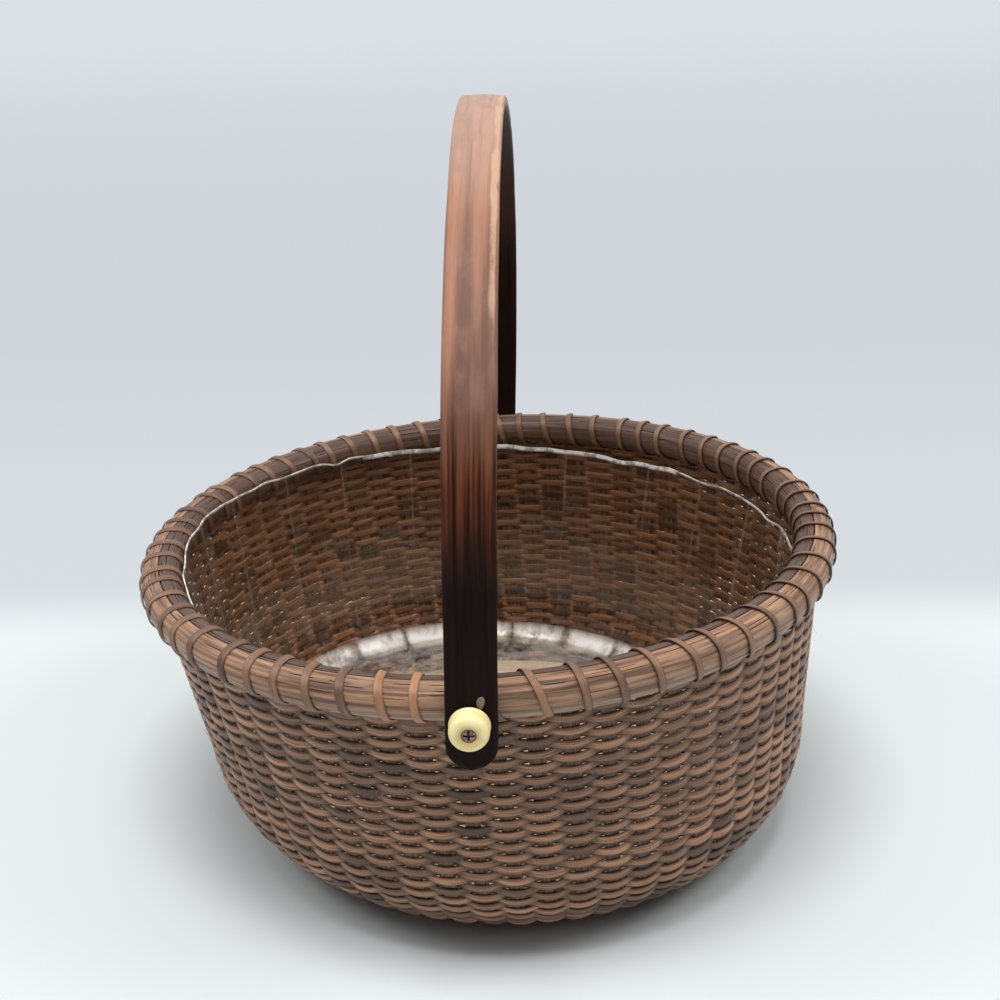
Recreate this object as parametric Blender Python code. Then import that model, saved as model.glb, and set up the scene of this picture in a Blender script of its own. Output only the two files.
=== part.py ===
"""A round Nantucket basket with a swinging bail and a lift-out clear liner, in metres, +Z up.

The hand-made shape is kept: the base lies a little to +X of the rim, and the rim rises towards +X.
The bail turns about Y, on two screws that hold it, with their knobs, to the front and the back.
"""

import math

import bmesh
import bpy
from mathutils import Vector

# Clearances
GAP = 0.0003
LASHING_GAP = 0.0005
CUT_OVERRUN = 0.002

# Basket as a whole
RIM_RADIUS = 0.160
RIM_HEIGHT = 0.1352
RIM_SLOPE = 0.0304
BASE_SHIFT = 0.0097
STAVE_COUNT = 65
STAVES_IN_GROUP = 5

# Turned base
BASE_THICKNESS = 0.013
BASE_ROUNDING = 0.003
BASE_UNDER_ROUNDING = 0.0008
BASE_TURN_STEPS = 3
GROOVE_DEPTH = 0.0062
FOOT_DEPTH = 0.0058
FOOT_BAND = 0.0028

# Woven wall, measured on its outside
WEAVE_LIFT = 0.0012
CORNER_WIDTH = 0.0418
CORNER_HEIGHT = 0.0523
FLARE_WIDTH = 0.0087
WEAVER_THICKNESS = 0.0015
STAVE_THICKNESS = 0.0015
STAVE_WIDTH = 0.0065
STAVE_TOP_INSET = 0.001
CORNER_STEPS = 4

# Rim hoops and their lashing
HOOP_THICKNESS = 0.0069
HOOP_HEIGHT = 0.0144
LASHING_THICKNESS = 0.0008
LASHING_WIDTH = 0.0035
SHOULDER_WIDTH_SHARE = 0.55
SHOULDER_HEIGHT_SHARE = 0.5
UNDER_CROSSING_SHARE = 0.44

# Bail
PIVOT_DROP = 0.0027
STRAP_WIDTH = 0.0192
STRAP_THICKNESS = 0.0055
STRAP_CROWN = 0.0006
STRAP_EDGE = 0.001
BAIL_RISE = 0.1995
LEG_RISE = 0.0637
FOOT_DROP = 0.0193
FOOT_ROUNDING = 0.0092
BAIL_LEAN = math.radians(1.04)
ARCH_STEPS = 26
FOOT_TURN_STEPS = 4
FOOT_TIP_SHARE = 0.4

# Screws and knobs
SHANK_RADIUS = 0.0014
SCREW_POINT = 0.0025
SCREW_END_INSET = 0.0022
HEAD_RADIUS = 0.0027
HEAD_HEIGHT = 0.0017
HEAD_EDGE_SHARE = 0.5
HEAD_DOME_SHARES = (0.72, 0.93)
CROSS_LENGTH = 0.0036
CROSS_WIDTH = 0.0008
CROSS_DEPTH = 0.0009
KNOB_RADIUS = 0.0076
KNOB_FOOT_RADIUS = 0.0069
KNOB_HEIGHT = 0.008
KNOB_ROUNDING = 0.0034
KNOB_DISH_DEPTH = 0.0005
KNOB_FLOOR = 0.0038
KNOB_TURN_STEPS = 3
SCREW_SIDES = 12
KNOB_SIDES = 20

# Clear liner
LINER_THICKNESS = 0.001
LINER_OFFSET = -0.0024
LINER_TILT = 0.035
LINER_SEAT_INSET = 0.0046
LINER_CHANNEL_WIDTH = 0.006
LINER_CHANNEL_DEPTH = 0.0095
LINER_BELLY_CLEARANCE = 0.0085
LINER_BELLY_HEIGHT = 0.030
LINER_RIM_CLEARANCE = 0.003
LINER_EDGE_DROP = 0.0047
LINER_CORNER_STEPS = 5
LINER_CHANNEL_STEPS = 2
LINER_SIDES = 40

# Worked out from the sizes above
PITCH = 2 * math.pi / STAVE_COUNT
FACET_WIDENING = 1 / math.cos(PITCH / 2)
FRONT_ANGLE = -math.pi / 2
HALF_STAVE = STAVE_THICKNESS / 2
RIM_HALF_WIDTH = HOOP_THICKNESS + GAP + HALF_STAVE
STAVE_RING_RADIUS = RIM_RADIUS - LASHING_THICKNESS - LASHING_GAP - RIM_HALF_WIDTH
LASHING_INNER_RADIUS = STAVE_RING_RADIUS - RIM_HALF_WIDTH - LASHING_GAP - LASHING_THICKNESS
WEAVE_TOP = RIM_HEIGHT - HOOP_HEIGHT / 2 - LASHING_GAP - LASHING_THICKNESS - LASHING_GAP
STAVE_TOP = RIM_HEIGHT + HOOP_HEIGHT / 2 - STAVE_TOP_INSET
STAVE_DEPTH = WEAVER_THICKNESS + GAP
INSIDE_DEPTH = STAVE_DEPTH + STAVE_THICKNESS + GAP
WALL_THICKNESS = INSIDE_DEPTH + WEAVER_THICKNESS
WALL_TOP_RADIUS = STAVE_RING_RADIUS + HALF_STAVE + STAVE_DEPTH
BELLY_RADIUS = WALL_TOP_RADIUS - FLARE_WIDTH
BASE_EDGE_RADIUS = BELLY_RADIUS - CORNER_WIDTH
BASE_RADIUS = BASE_EDGE_RADIUS - GAP
PIVOT_HEIGHT = RIM_HEIGHT - PIVOT_DROP
BORE_RADIUS = SHANK_RADIUS + GAP
STRAP_INNER = RIM_RADIUS + GAP
STRAP_MIDDLE = STRAP_INNER + STRAP_THICKNESS / 2
STRAP_OUTER = STRAP_INNER + STRAP_THICKNESS
KNOB_SEAT = STRAP_OUTER + GAP
SCREW_END = STAVE_RING_RADIUS - HALF_STAVE - GAP - HOOP_THICKNESS + SCREW_END_INSET


def finish(name, vertices, faces, colour, roughness, metallic=0.0):
    """One closed object with its faces turned outwards, shaded smooth, with its own material."""
    mesh = bpy.data.meshes.new(name)
    mesh.from_pydata([tuple(vertex) for vertex in vertices], [], faces)
    work = bmesh.new()
    work.from_mesh(mesh)
    bmesh.ops.recalc_face_normals(work, faces=work.faces)
    work.to_mesh(mesh)
    work.free()
    mesh.shade_smooth()
    mesh.set_sharp_from_angle(angle=math.radians(35))
    piece = bpy.data.objects.new(name, mesh)
    bpy.context.scene.collection.objects.link(piece)
    material = bpy.data.materials.new(name)
    material.use_nodes = True
    shader = material.node_tree.nodes["Principled BSDF"]
    shader.inputs["Base Color"].default_value = (*colour, 1.0)
    shader.inputs["Roughness"].default_value = roughness
    shader.inputs["Metallic"].default_value = metallic
    mesh.materials.append(material)
    return piece


def cut(piece, cutter):
    """Takes the cutter's shape out of the piece."""
    bore = piece.modifiers.new(cutter.name, "BOOLEAN")
    bore.operation = "DIFFERENCE"
    bore.solver = "EXACT"
    bore.object = cutter


def hide(cutter):
    """Keeps a cutter out of the built object."""
    cutter.hide_render = True
    cutter.display_type = "WIRE"


def leaned(point):
    """Moves a point of an even basket to its place on the hand-made one, whose wall leans."""
    x, y, z = point
    share = max(0.0, z - BASE_THICKNESS) / (RIM_HEIGHT - BASE_THICKNESS)
    return Vector((x + BASE_SHIFT * (1 - share), y, z + RIM_SLOPE * x * share))


def stave_angle(index):
    """The direction of a stave's middle. The front lies midway between two staves."""
    return FRONT_ANGLE + (index + 0.5) * PITCH


def ring_of(outline):
    """Runs a closed outline of radius and height round the basket, its corners between the staves."""
    vertices = []
    for index in range(STAVE_COUNT):
        angle = stave_angle(index) - PITCH / 2
        for radius, height in outline:
            wide = radius * FACET_WIDENING
            vertices.append(leaned((wide * math.cos(angle), wide * math.sin(angle), height)))
    count = len(outline)
    faces = []
    for index in range(STAVE_COUNT):
        here = index * count
        there = (index + 1) % STAVE_COUNT * count
        for corner in range(count):
            after = (corner + 1) % count
            faces.append((here + corner, here + after, there + after, there + corner))
    return vertices, faces


def turned(profile, sides):
    """Turns a profile about Z. It begins and ends on the axis."""
    inner = profile[1:-1]
    vertices = [Vector((0.0, 0.0, profile[0][1])), Vector((0.0, 0.0, profile[-1][1]))]
    for side in range(sides):
        angle = 2 * math.pi * side / sides
        for radius, height in inner:
            vertices.append(Vector((radius * math.cos(angle), radius * math.sin(angle), height)))
    count = len(inner)
    faces = []
    for side in range(sides):
        here = 2 + side * count
        there = 2 + (side + 1) % sides * count
        faces.append((0, here, there))
        faces.append((1, there + count - 1, here + count - 1))
        for row in range(count - 1):
            faces.append((here + row, here + row + 1, there + row + 1, there + row))
    return vertices, faces


def wall_line(depth):
    """The wall's line, as radius and height, this deep below its outer face: a quarter ellipse, then a flare."""
    flare = Vector((WALL_TOP_RADIUS - BELLY_RADIUS, WEAVE_TOP - WEAVE_LIFT - CORNER_HEIGHT)).normalized()
    line = []
    for step in range(CORNER_STEPS + 1):
        angle = math.pi / 2 * step / CORNER_STEPS
        radius = BASE_EDGE_RADIUS + CORNER_WIDTH * math.sin(angle)
        height = WEAVE_LIFT + CORNER_HEIGHT * (1 - math.cos(angle))
        out = Vector((math.sin(angle) / CORNER_WIDTH, -math.cos(angle) / CORNER_HEIGHT)).normalized()
        if step == CORNER_STEPS:
            out = (out + Vector((flare.y, -flare.x))).normalized()
        line.append(Vector((radius, height)) - out * depth)
    line.append(Vector((WALL_TOP_RADIUS - depth, WEAVE_TOP)))
    return line


def make_base():
    """The turned plate that the basket stands on, with the groove that holds the staves' feet."""
    low = WEAVE_LIFT + STAVE_DEPTH - GAP
    high = WEAVE_LIFT + STAVE_DEPTH + STAVE_THICKNESS + GAP
    floor = BASE_RADIUS - GROOVE_DEPTH
    outline = [
        (BASE_RADIUS - BASE_UNDER_ROUNDING, 0.0),
        (BASE_RADIUS, BASE_UNDER_ROUNDING),
        (BASE_RADIUS, low),
        (floor, low),
        (floor, high),
        (BASE_RADIUS, high),
    ]
    for step in range(BASE_TURN_STEPS + 1):
        angle = math.pi / 2 * step / BASE_TURN_STEPS
        outline.append(
            (
                BASE_RADIUS - BASE_ROUNDING * (1 - math.cos(angle)),
                BASE_THICKNESS - BASE_ROUNDING * (1 - math.sin(angle)),
            )
        )
    widened_outline = [(radius * FACET_WIDENING, height) for radius, height in outline]
    profile = [(0.0, 0.0), *widened_outline, (0.0, BASE_THICKNESS)]
    vertices, faces = turned(profile, STAVE_COUNT)
    turn = stave_angle(0) - PITCH / 2
    base = finish("base_plate", vertices, faces, (0.36, 0.27, 0.17), 0.45)
    base.location = (BASE_SHIFT, 0.0, 0.0)
    base.rotation_euler = (0.0, 0.0, turn)


def stave_corners(index, radius, heights):
    """The four corners of a stave's section, which is as wide as its distance from the axis allows."""
    angle = stave_angle(index)
    ahead = Vector((math.cos(angle), math.sin(angle), 0.0))
    aside = Vector((-math.sin(angle), math.cos(angle), 0.0))
    half = STAVE_WIDTH / 2 * max(radius) / STAVE_RING_RADIUS
    corners = []
    for side, face in ((-1, 0), (-1, 1), (1, 1), (1, 0)):
        even = ahead * radius[face] + aside * side * half
        corners.append(leaned((even.x, even.y, heights[face])))
    return corners


def make_staves():
    """The uprights, in groups. In the base's groove a band joins the feet of each group."""
    outer = wall_line(STAVE_DEPTH)
    inner = wall_line(STAVE_DEPTH + STAVE_THICKNESS)
    outer.append(Vector((STAVE_RING_RADIUS + HALF_STAVE, STAVE_TOP)))
    inner.append(Vector((STAVE_RING_RADIUS - HALF_STAVE, STAVE_TOP)))
    foot = BASE_RADIUS - FOOT_DEPTH
    band = foot + FOOT_BAND
    rows = [((foot, foot), (outer[0].y, inner[0].y)), ((band, band), (outer[0].y, inner[0].y))]
    rows += [((out.x, into.x), (out.y, into.y)) for out, into in zip(outer, inner)]
    groups = []
    for group in range(STAVE_COUNT // STAVES_IN_GROUP):
        vertices = []
        faces = []
        for number in range(STAVES_IN_GROUP):
            first = len(vertices)
            for radius, heights in rows:
                vertices += stave_corners(group * STAVES_IN_GROUP + number, radius, heights)
            for row in range(len(rows) - 1):
                low = first + 4 * row
                faces.append((low, low + 1, low + 5, low + 4))
                faces.append((low + 1, low + 2, low + 6, low + 5))
                faces.append((low + 2, low + 3, low + 7, low + 6))
                faces.append((low + 3, low, low + 4, low + 7))
            last = len(vertices) - 4
            faces.append((last, last + 1, last + 2, last + 3))
            faces.append((first, first + 1, first + 2, first + 3))
            if number:
                # The band fills the space between two neighbouring feet.
                before = first - 4 * len(rows)
                faces.append((before + 3, first, first + 1, before + 2))
                faces.append((before + 7, first + 4, first + 5, before + 6))
                faces.append((before + 3, first, first + 4, before + 7))
                faces.append((before + 2, first + 1, first + 5, before + 6))
                faces.remove((before + 2, before + 3, before + 7, before + 6))
                faces.remove((first, first + 1, first + 5, first + 4))
        name = f"stave_group_{group + 1:02d}"
        groups.append(finish(name, vertices, faces, (0.22, 0.16, 0.12), 0.55))
    return groups


def make_skin(name, depth):
    """One face of the weave, as a plain closed skin."""
    near = [tuple(place) for place in wall_line(depth)]
    far = [tuple(place) for place in wall_line(depth + WEAVER_THICKNESS)]
    vertices, faces = ring_of(near + far[::-1])
    finish(name, vertices, faces, (0.20, 0.14, 0.11), 0.6)


def shoulders(reach, rise, side):
    """The rounded side of the rim's section, from the bottom up, as distances from the rim's middle."""
    return [
        (side * reach * SHOULDER_WIDTH_SHARE, -rise),
        (side * reach, -rise * SHOULDER_HEIGHT_SHARE),
        (side * reach, rise * SHOULDER_HEIGHT_SHARE),
        (side * reach * SHOULDER_WIDTH_SHARE, rise),
    ]


def make_hoop(name, side):
    """A bent hoop with a flat face against the staves and a rounded face away from them."""
    rise = HOOP_HEIGHT / 2
    face = side * (HALF_STAVE + GAP)
    section = [(face, -rise), *shoulders(RIM_HALF_WIDTH, rise, side), (face, rise)]
    outline = [(STAVE_RING_RADIUS + across, RIM_HEIGHT + up) for across, up in section]
    vertices, faces = ring_of(outline)
    return finish(name, vertices, faces, (0.25, 0.15, 0.11), 0.5)


def widened(section, distance):
    """A section that runs anticlockwise, with each side moved outwards by the same distance."""
    corners = [Vector(corner) for corner in section]
    moved = []
    for index, corner in enumerate(corners):
        into = (corner - corners[index - 1]).normalized()
        onward = (corners[(index + 1) % len(corners)] - corner).normalized()
        out_before = Vector((into.y, -into.x))
        out_after = Vector((onward.y, -onward.x))
        middle = (out_before + out_after).normalized()
        moved.append(corner + middle * distance / middle.dot(out_before))
    return moved


def make_lashing():
    """The flat cane that binds the hoops: one unbroken winding, with one turn for each stave."""
    rise = HOOP_HEIGHT / 2
    section = [*shoulders(RIM_HALF_WIDTH, rise, 1), *shoulders(RIM_HALF_WIDTH, rise, -1)[::-1]]
    under = widened(section, LASHING_GAP)[::-1]
    over = widened(section, LASHING_GAP + LASHING_THICKNESS)[::-1]
    steps = len(section)
    vertices = []
    middles = []
    for turn in range(STAVE_COUNT):
        for step in range(steps):
            # A turn starts at the bottom, goes up the inner side and comes down the outer one.
            part = (step + 0.5) / steps
            angle = stave_angle(turn) + (UNDER_CROSSING_SHARE + part) * PITCH
            ahead = Vector((math.cos(angle), math.sin(angle), 0.0))
            aside = Vector((-math.sin(angle), math.cos(angle), 0.0))
            places = []
            for across, up in (under[step], over[step]):
                places.append(ahead * (STAVE_RING_RADIUS + across) + Vector((0.0, 0.0, RIM_HEIGHT + up)))
            half = aside * LASHING_WIDTH / 2
            corners = (places[0] - half, places[0] + half, places[1] + half, places[1] - half)
            vertices.extend(leaned(corner) for corner in corners)
            middles.append((places[0] + places[1]) / 2)
    rings = len(middles)
    faces = []
    for ring in range(rings):
        here = 4 * ring
        there = 4 * ((ring + 1) % rings)
        for first in range(4):
            second = (first + 1) % 4
            faces.append((here + first, here + second, there + second, there + first))
    finish("rim_lashing", vertices, faces, (0.24, 0.15, 0.10), 0.5)
    nearest = min((middles[ring] - middles[(ring + steps) % rings]).length for ring in range(rings))
    print(f"rim lashing: least gap between turns {(nearest - LASHING_WIDTH) * 1000:.2f} mm")


def make_bail():
    """The bent strap: two straight legs with rounded feet, and half an ellipse over the top."""
    arch_rise = BAIL_RISE - LEG_RISE
    stations = []
    for step in range(FOOT_TURN_STEPS):
        angle = math.pi / 2 * (step + FOOT_TIP_SHARE) / (FOOT_TURN_STEPS + FOOT_TIP_SHARE)
        lift = FOOT_ROUNDING * (1 - math.cos(angle))
        stations.append((-STRAP_MIDDLE, lift - FOOT_DROP, -1.0, 0.0, math.sin(angle)))
    stations.append((-STRAP_MIDDLE, FOOT_ROUNDING - FOOT_DROP, -1.0, 0.0, 1.0))
    for step in range(ARCH_STEPS // 2 + 1):
        angle = math.pi * step / ARCH_STEPS
        out = Vector((-math.cos(angle) / STRAP_MIDDLE, math.sin(angle) / arch_rise)).normalized()
        place = (-STRAP_MIDDLE * math.cos(angle), LEG_RISE + arch_rise * math.sin(angle))
        stations.append((*place, out.x, out.y, 1.0))
    mirrored = [(-y, z, -out_y, out_z, width) for y, z, out_y, out_z, width in stations[-2::-1]]
    half = STRAP_WIDTH / 2
    inside = -STRAP_THICKNESS / 2
    outside = STRAP_THICKNESS / 2
    crown = outside - STRAP_CROWN
    section = [
        (-half + STRAP_EDGE, inside),
        (half - STRAP_EDGE, inside),
        (half, inside + STRAP_EDGE),
        (half, crown - STRAP_EDGE),
        (half - STRAP_EDGE, crown),
        (0.0, outside),
        (-half + STRAP_EDGE, crown),
        (-half, crown - STRAP_EDGE),
        (-half, inside + STRAP_EDGE),
    ]
    vertices = []
    for y, z, out_y, out_z, width in stations + mirrored:
        for across, out in section:
            vertices.append(Vector((across * width, y + out * out_y, z + out * out_z)))
    count = len(section)
    rings = len(vertices) // count
    faces = [tuple(range(count)), tuple(range((rings - 1) * count, rings * count))]
    for ring in range(rings - 1):
        here = ring * count
        there = here + count
        for first in range(count):
            second = (first + 1) % count
            faces.append((here + first, here + second, there + second, there + first))
    bail = finish("bail_handle", vertices, faces, (0.27, 0.13, 0.08), 0.4)
    bail.location = (0.0, 0.0, PIVOT_HEIGHT)
    bail.rotation_euler = (0.0, BAIL_LEAN, 0.0)
    return bail


def make_bores():
    """Two cutters on the pivot's line, one for each screw, from beyond the strap to the screw's end."""
    bores = []
    for name, side in (("front", -1), ("back", 1)):
        length = STRAP_OUTER + CUT_OVERRUN - SCREW_END + GAP
        profile = [(0.0, 0.0), (BORE_RADIUS, 0.0), (BORE_RADIUS, length), (0.0, length)]
        vertices, faces = turned(profile, SCREW_SIDES)
        bore = finish(f"{name}_bore", vertices, faces, (0.5, 0.5, 0.5), 0.5)
        bore.location = (0.0, side * (SCREW_END - GAP), PIVOT_HEIGHT)
        bore.rotation_euler = (-side * math.pi / 2, 0.0, 0.0)
        hide(bore)
        bores.append(bore)
    return bores


def make_screw(name, side):
    """A round-headed screw with a cross in its head. It runs from the knob into the inner hoop."""
    seat = KNOB_SEAT + KNOB_FLOOR + GAP - SCREW_END
    profile = [
        (0.0, 0.0),
        (SHANK_RADIUS, SCREW_POINT),
        (SHANK_RADIUS, seat),
        (HEAD_RADIUS, seat),
        (HEAD_RADIUS, seat + HEAD_HEIGHT * HEAD_EDGE_SHARE),
        (HEAD_RADIUS * HEAD_DOME_SHARES[0], seat + HEAD_HEIGHT * HEAD_DOME_SHARES[1]),
        (0.0, seat + HEAD_HEIGHT),
    ]
    vertices, faces = turned(profile, SCREW_SIDES)
    screw = finish(name, vertices, faces, (0.30, 0.26, 0.26), 0.4, 1.0)
    screw.location = (0.0, side * SCREW_END, PIVOT_HEIGHT)
    screw.rotation_euler = (-side * math.pi / 2, 0.0, 0.0)
    for number in range(2):
        long = CROSS_LENGTH / 2
        narrow = CROSS_WIDTH / 2
        reach = (long, narrow) if number else (narrow, long)
        top = seat + HEAD_HEIGHT
        corners = []
        for height in (top - CROSS_DEPTH, top + CUT_OVERRUN):
            for x, y in ((-1, -1), (1, -1), (1, 1), (-1, 1)):
                corners.append(Vector((x * reach[0], y * reach[1], height)))
        sides = [(0, 1, 5, 4), (1, 2, 6, 5), (2, 3, 7, 6), (3, 0, 4, 7), (0, 1, 2, 3), (4, 5, 6, 7)]
        slot = finish(f"{name}_slot_{number}", corners, sides, (0.5, 0.5, 0.5), 0.5)
        slot.location = screw.location
        slot.rotation_euler = screw.rotation_euler
        hide(slot)
        cut(screw, slot)


def make_knob(name, side):
    """A turned barrel knob with a dished face, a bore, and a hollow that takes the screw's head."""
    hollow = HEAD_RADIUS + GAP
    dish = KNOB_HEIGHT - KNOB_DISH_DEPTH
    outline = [(BORE_RADIUS, 0.0), (KNOB_FOOT_RADIUS, 0.0)]
    for step in range(KNOB_TURN_STEPS + 1):
        angle = math.pi / 2 * step / KNOB_TURN_STEPS
        outline.append(
            (
                KNOB_RADIUS - KNOB_ROUNDING * (1 - math.cos(angle)),
                KNOB_HEIGHT - KNOB_ROUNDING * (1 - math.sin(angle)),
            )
        )
    outline += [(hollow, dish), (hollow, KNOB_FLOOR), (BORE_RADIUS, KNOB_FLOOR)]
    vertices = []
    for number in range(KNOB_SIDES):
        angle = 2 * math.pi * number / KNOB_SIDES
        for radius, height in outline:
            vertices.append(Vector((radius * math.cos(angle), radius * math.sin(angle), height)))
    count = len(outline)
    faces = []
    for number in range(KNOB_SIDES):
        here = number * count
        there = (number + 1) % KNOB_SIDES * count
        for first in range(count):
            second = (first + 1) % count
            faces.append((here + first, here + second, there + second, there + first))
    knob = finish(name, vertices, faces, (0.85, 0.72, 0.32), 0.3)
    knob.location = (0.0, side * KNOB_SEAT, PIVOT_HEIGHT)
    knob.rotation_euler = (-side * math.pi / 2, 0.0, 0.0)


def make_liner():
    """The clear moulded liner: a raised flat floor, a channel round it and a high wall."""
    channel = BASE_RADIUS + BASE_SHIFT - LINER_OFFSET - LINER_SEAT_INSET
    belly = BELLY_RADIUS - WALL_THICKNESS - LINER_BELLY_CLEARANCE
    top = LASHING_INNER_RADIUS - LINER_RIM_CLEARANCE
    floor = BASE_THICKNESS + GAP + LINER_CHANNEL_DEPTH + channel * math.sin(LINER_TILT)
    edge = RIM_HEIGHT - LINER_EDGE_DROP - floor
    under = []
    for step in range(LINER_CHANNEL_STEPS + 1):
        angle = math.pi / 2 * step / LINER_CHANNEL_STEPS
        across = LINER_CHANNEL_WIDTH * (1 - math.cos(angle))
        under.append(Vector((channel - LINER_CHANNEL_WIDTH + across, -LINER_CHANNEL_DEPTH * math.sin(angle))))
    height = LINER_BELLY_HEIGHT + LINER_CHANNEL_DEPTH
    for step in range(1, LINER_CORNER_STEPS + 1):
        angle = math.pi / 2 * step / LINER_CORNER_STEPS
        across = (belly - channel) * math.sin(angle)
        under.append(Vector((channel + across, -LINER_CHANNEL_DEPTH + height * (1 - math.cos(angle)))))
    under.append(Vector((top, edge)))
    upper = []
    for index, place in enumerate(under):
        before = under[max(index - 1, 0)]
        after = under[min(index + 1, len(under) - 1)]
        along = (after - before).normalized()
        if index == 0:
            along = Vector((1.0, 0.0))
        if index == len(under) - 1:
            along = Vector((0.0, 1.0))
        upper.append(place + Vector((-along.y, along.x)) * LINER_THICKNESS)
    profile = [(0.0, 0.0), *map(tuple, under), *map(tuple, upper[::-1]), (0.0, LINER_THICKNESS)]
    vertices, faces = turned(profile, LINER_SIDES)
    liner = finish("plastic_liner", vertices, faces, (0.75, 0.78, 0.76), 0.1)
    liner.location = (LINER_OFFSET, 0.0, floor)
    liner.rotation_euler = (0.0, LINER_TILT, 0.0)


def clear_scene():
    """Removes what the scene holds at first."""
    for old in list(bpy.data.objects):
        bpy.data.objects.remove(old, do_unlink=True)


clear_scene()
make_base()
stave_groups = make_staves()
make_skin("weaver_outside", 0.0)
make_skin("weaver_inside", INSIDE_DEPTH)
outer_hoop = make_hoop("outer_hoop", 1)
inner_hoop = make_hoop("inner_hoop", -1)
make_lashing()
bail_handle = make_bail()
pin_bores = make_bores()
back_group = stave_groups[STAVE_COUNT // 2 // STAVES_IN_GROUP]
for bore_cutter in pin_bores:
    for bored in (outer_hoop, inner_hoop, bail_handle):
        cut(bored, bore_cutter)
cut(back_group, pin_bores[1])
for place_name, place_side in (("front", -1), ("back", 1)):
    make_knob(f"{place_name}_knob", place_side)
    make_screw(f"{place_name}_screw", place_side)
make_liner()
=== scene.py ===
import math

import bpy
import numpy as np
from mathutils import Matrix, Vector


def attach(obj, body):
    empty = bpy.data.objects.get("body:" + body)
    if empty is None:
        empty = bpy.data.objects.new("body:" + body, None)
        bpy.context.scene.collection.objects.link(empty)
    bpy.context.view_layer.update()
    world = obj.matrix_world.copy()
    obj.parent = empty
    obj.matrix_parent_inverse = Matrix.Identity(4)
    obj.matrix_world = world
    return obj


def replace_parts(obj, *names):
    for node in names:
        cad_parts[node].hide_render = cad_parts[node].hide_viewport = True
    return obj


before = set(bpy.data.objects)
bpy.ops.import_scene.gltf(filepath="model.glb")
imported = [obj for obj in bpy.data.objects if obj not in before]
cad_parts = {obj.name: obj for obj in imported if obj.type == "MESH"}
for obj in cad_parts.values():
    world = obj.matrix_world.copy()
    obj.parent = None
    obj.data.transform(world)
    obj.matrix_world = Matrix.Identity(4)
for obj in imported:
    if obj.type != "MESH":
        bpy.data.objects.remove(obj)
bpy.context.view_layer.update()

# Turned base plate. A round of olive-brown hardwood, turned on a lathe, with the staves' feet glued
# into a groove in its edge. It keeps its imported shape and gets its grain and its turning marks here.

BASE_SHIFT = 0.0097
TURNING_STEP = 0.0016


def dye(red, green, blue):
    """A colour as the eye names it, from 0 to 255, in the light's own measure."""
    shares = (red / 255, green / 255, blue / 255)
    return tuple(s / 12.92 if s <= 0.04045 else ((s + 0.055) / 1.055) ** 2.4 for s in shares)


class Shade:
    """A socket of a finish. Sums of shades are written as plain sums, and node() makes any other node."""

    def __init__(self, tree, socket=None):
        self.tree = tree
        self.socket = socket

    def node(self, kind, settings=None, links=None, output=0):
        """A node of this kind: first its settings, then the value or link of each named socket."""
        made = self.tree.nodes.new("ShaderNode" + kind)
        for name, value in (settings or {}).items():
            setattr(made, name, value)
        for name, value in (links or {}).items():
            socket = made.inputs[name]
            if isinstance(value, Shade):
                self.tree.links.new(value.socket, socket)
            elif socket.type == "RGBA":
                socket.default_value = (*value, 1.0)
            else:
                socket.default_value = value
        return Shade(self.tree, made.outputs[output] if len(made.outputs) else None)

    def worked(self, operation, first, second):
        return self.node("Math", {"operation": operation}, {0: first, 1: second})

    def __add__(self, other):
        return self.worked("ADD", self, other)

    def __sub__(self, other):
        return self.worked("SUBTRACT", self, other)

    def __rsub__(self, other):
        return self.worked("SUBTRACT", other, self)

    def __mul__(self, other):
        return self.worked("MULTIPLY", self, other)

    def __pow__(self, other):
        return self.worked("POWER", self, other)

    __radd__ = __add__
    __rmul__ = __mul__


def stained(share, low, high):
    """One colour where the share is 0 and the other where it is 1."""
    return share.node("Mix", {"data_type": "RGBA"}, {0: share, 6: low, 7: high}, output=2)


def drawn_out(place, x, y, z):
    """The place with each axis multiplied, so that a grain laid on it is drawn out along one of them."""
    return place.node("VectorMath", {"operation": "MULTIPLY"}, {0: place, 1: (x, y, z)})


def grain(place, scale, detail=3.0, roughness=0.55):
    """A cloudy grain from 0 to 1."""
    links = {"Vector": place, "Scale": scale, "Detail": detail, "Roughness": roughness}
    return place.node("TexNoise", None, links)


def fibre(place, x, y, z, detail=3.0, roughness=0.55):
    """A grain of this many cells to a metre along each axis."""
    return grain(drawn_out(place, x, y, z), 1.0, detail, roughness)


def rise(value, start, end):
    """0 up to the start, 1 from the end on, and an even rise between them."""
    links = {"Value": value, "From Min": start, "From Max": end}
    return value.node("MapRange", {"interpolation_type": "SMOOTHSTEP"}, links)


def new_finish(name):
    """An empty finish with the shade that makes its nodes."""
    made = bpy.data.materials.new(name)
    made.use_nodes = True
    made.node_tree.nodes.clear()
    return made, Shade(made.node_tree)


def lay_on(maker, colour, roughness, height=None, depth=0.0003, plain=None):
    """Ends a finish in one surface with its colour, roughness and relief."""
    links = {"Base Color": colour, "Roughness": roughness, **(plain or {})}
    if height is not None:
        links["Normal"] = maker.node("Bump", None, {"Height": height, "Distance": depth})
    surface = maker.node("BsdfPrincipled", None, links)
    maker.node("OutputMaterial", None, {"Surface": surface})


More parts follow.
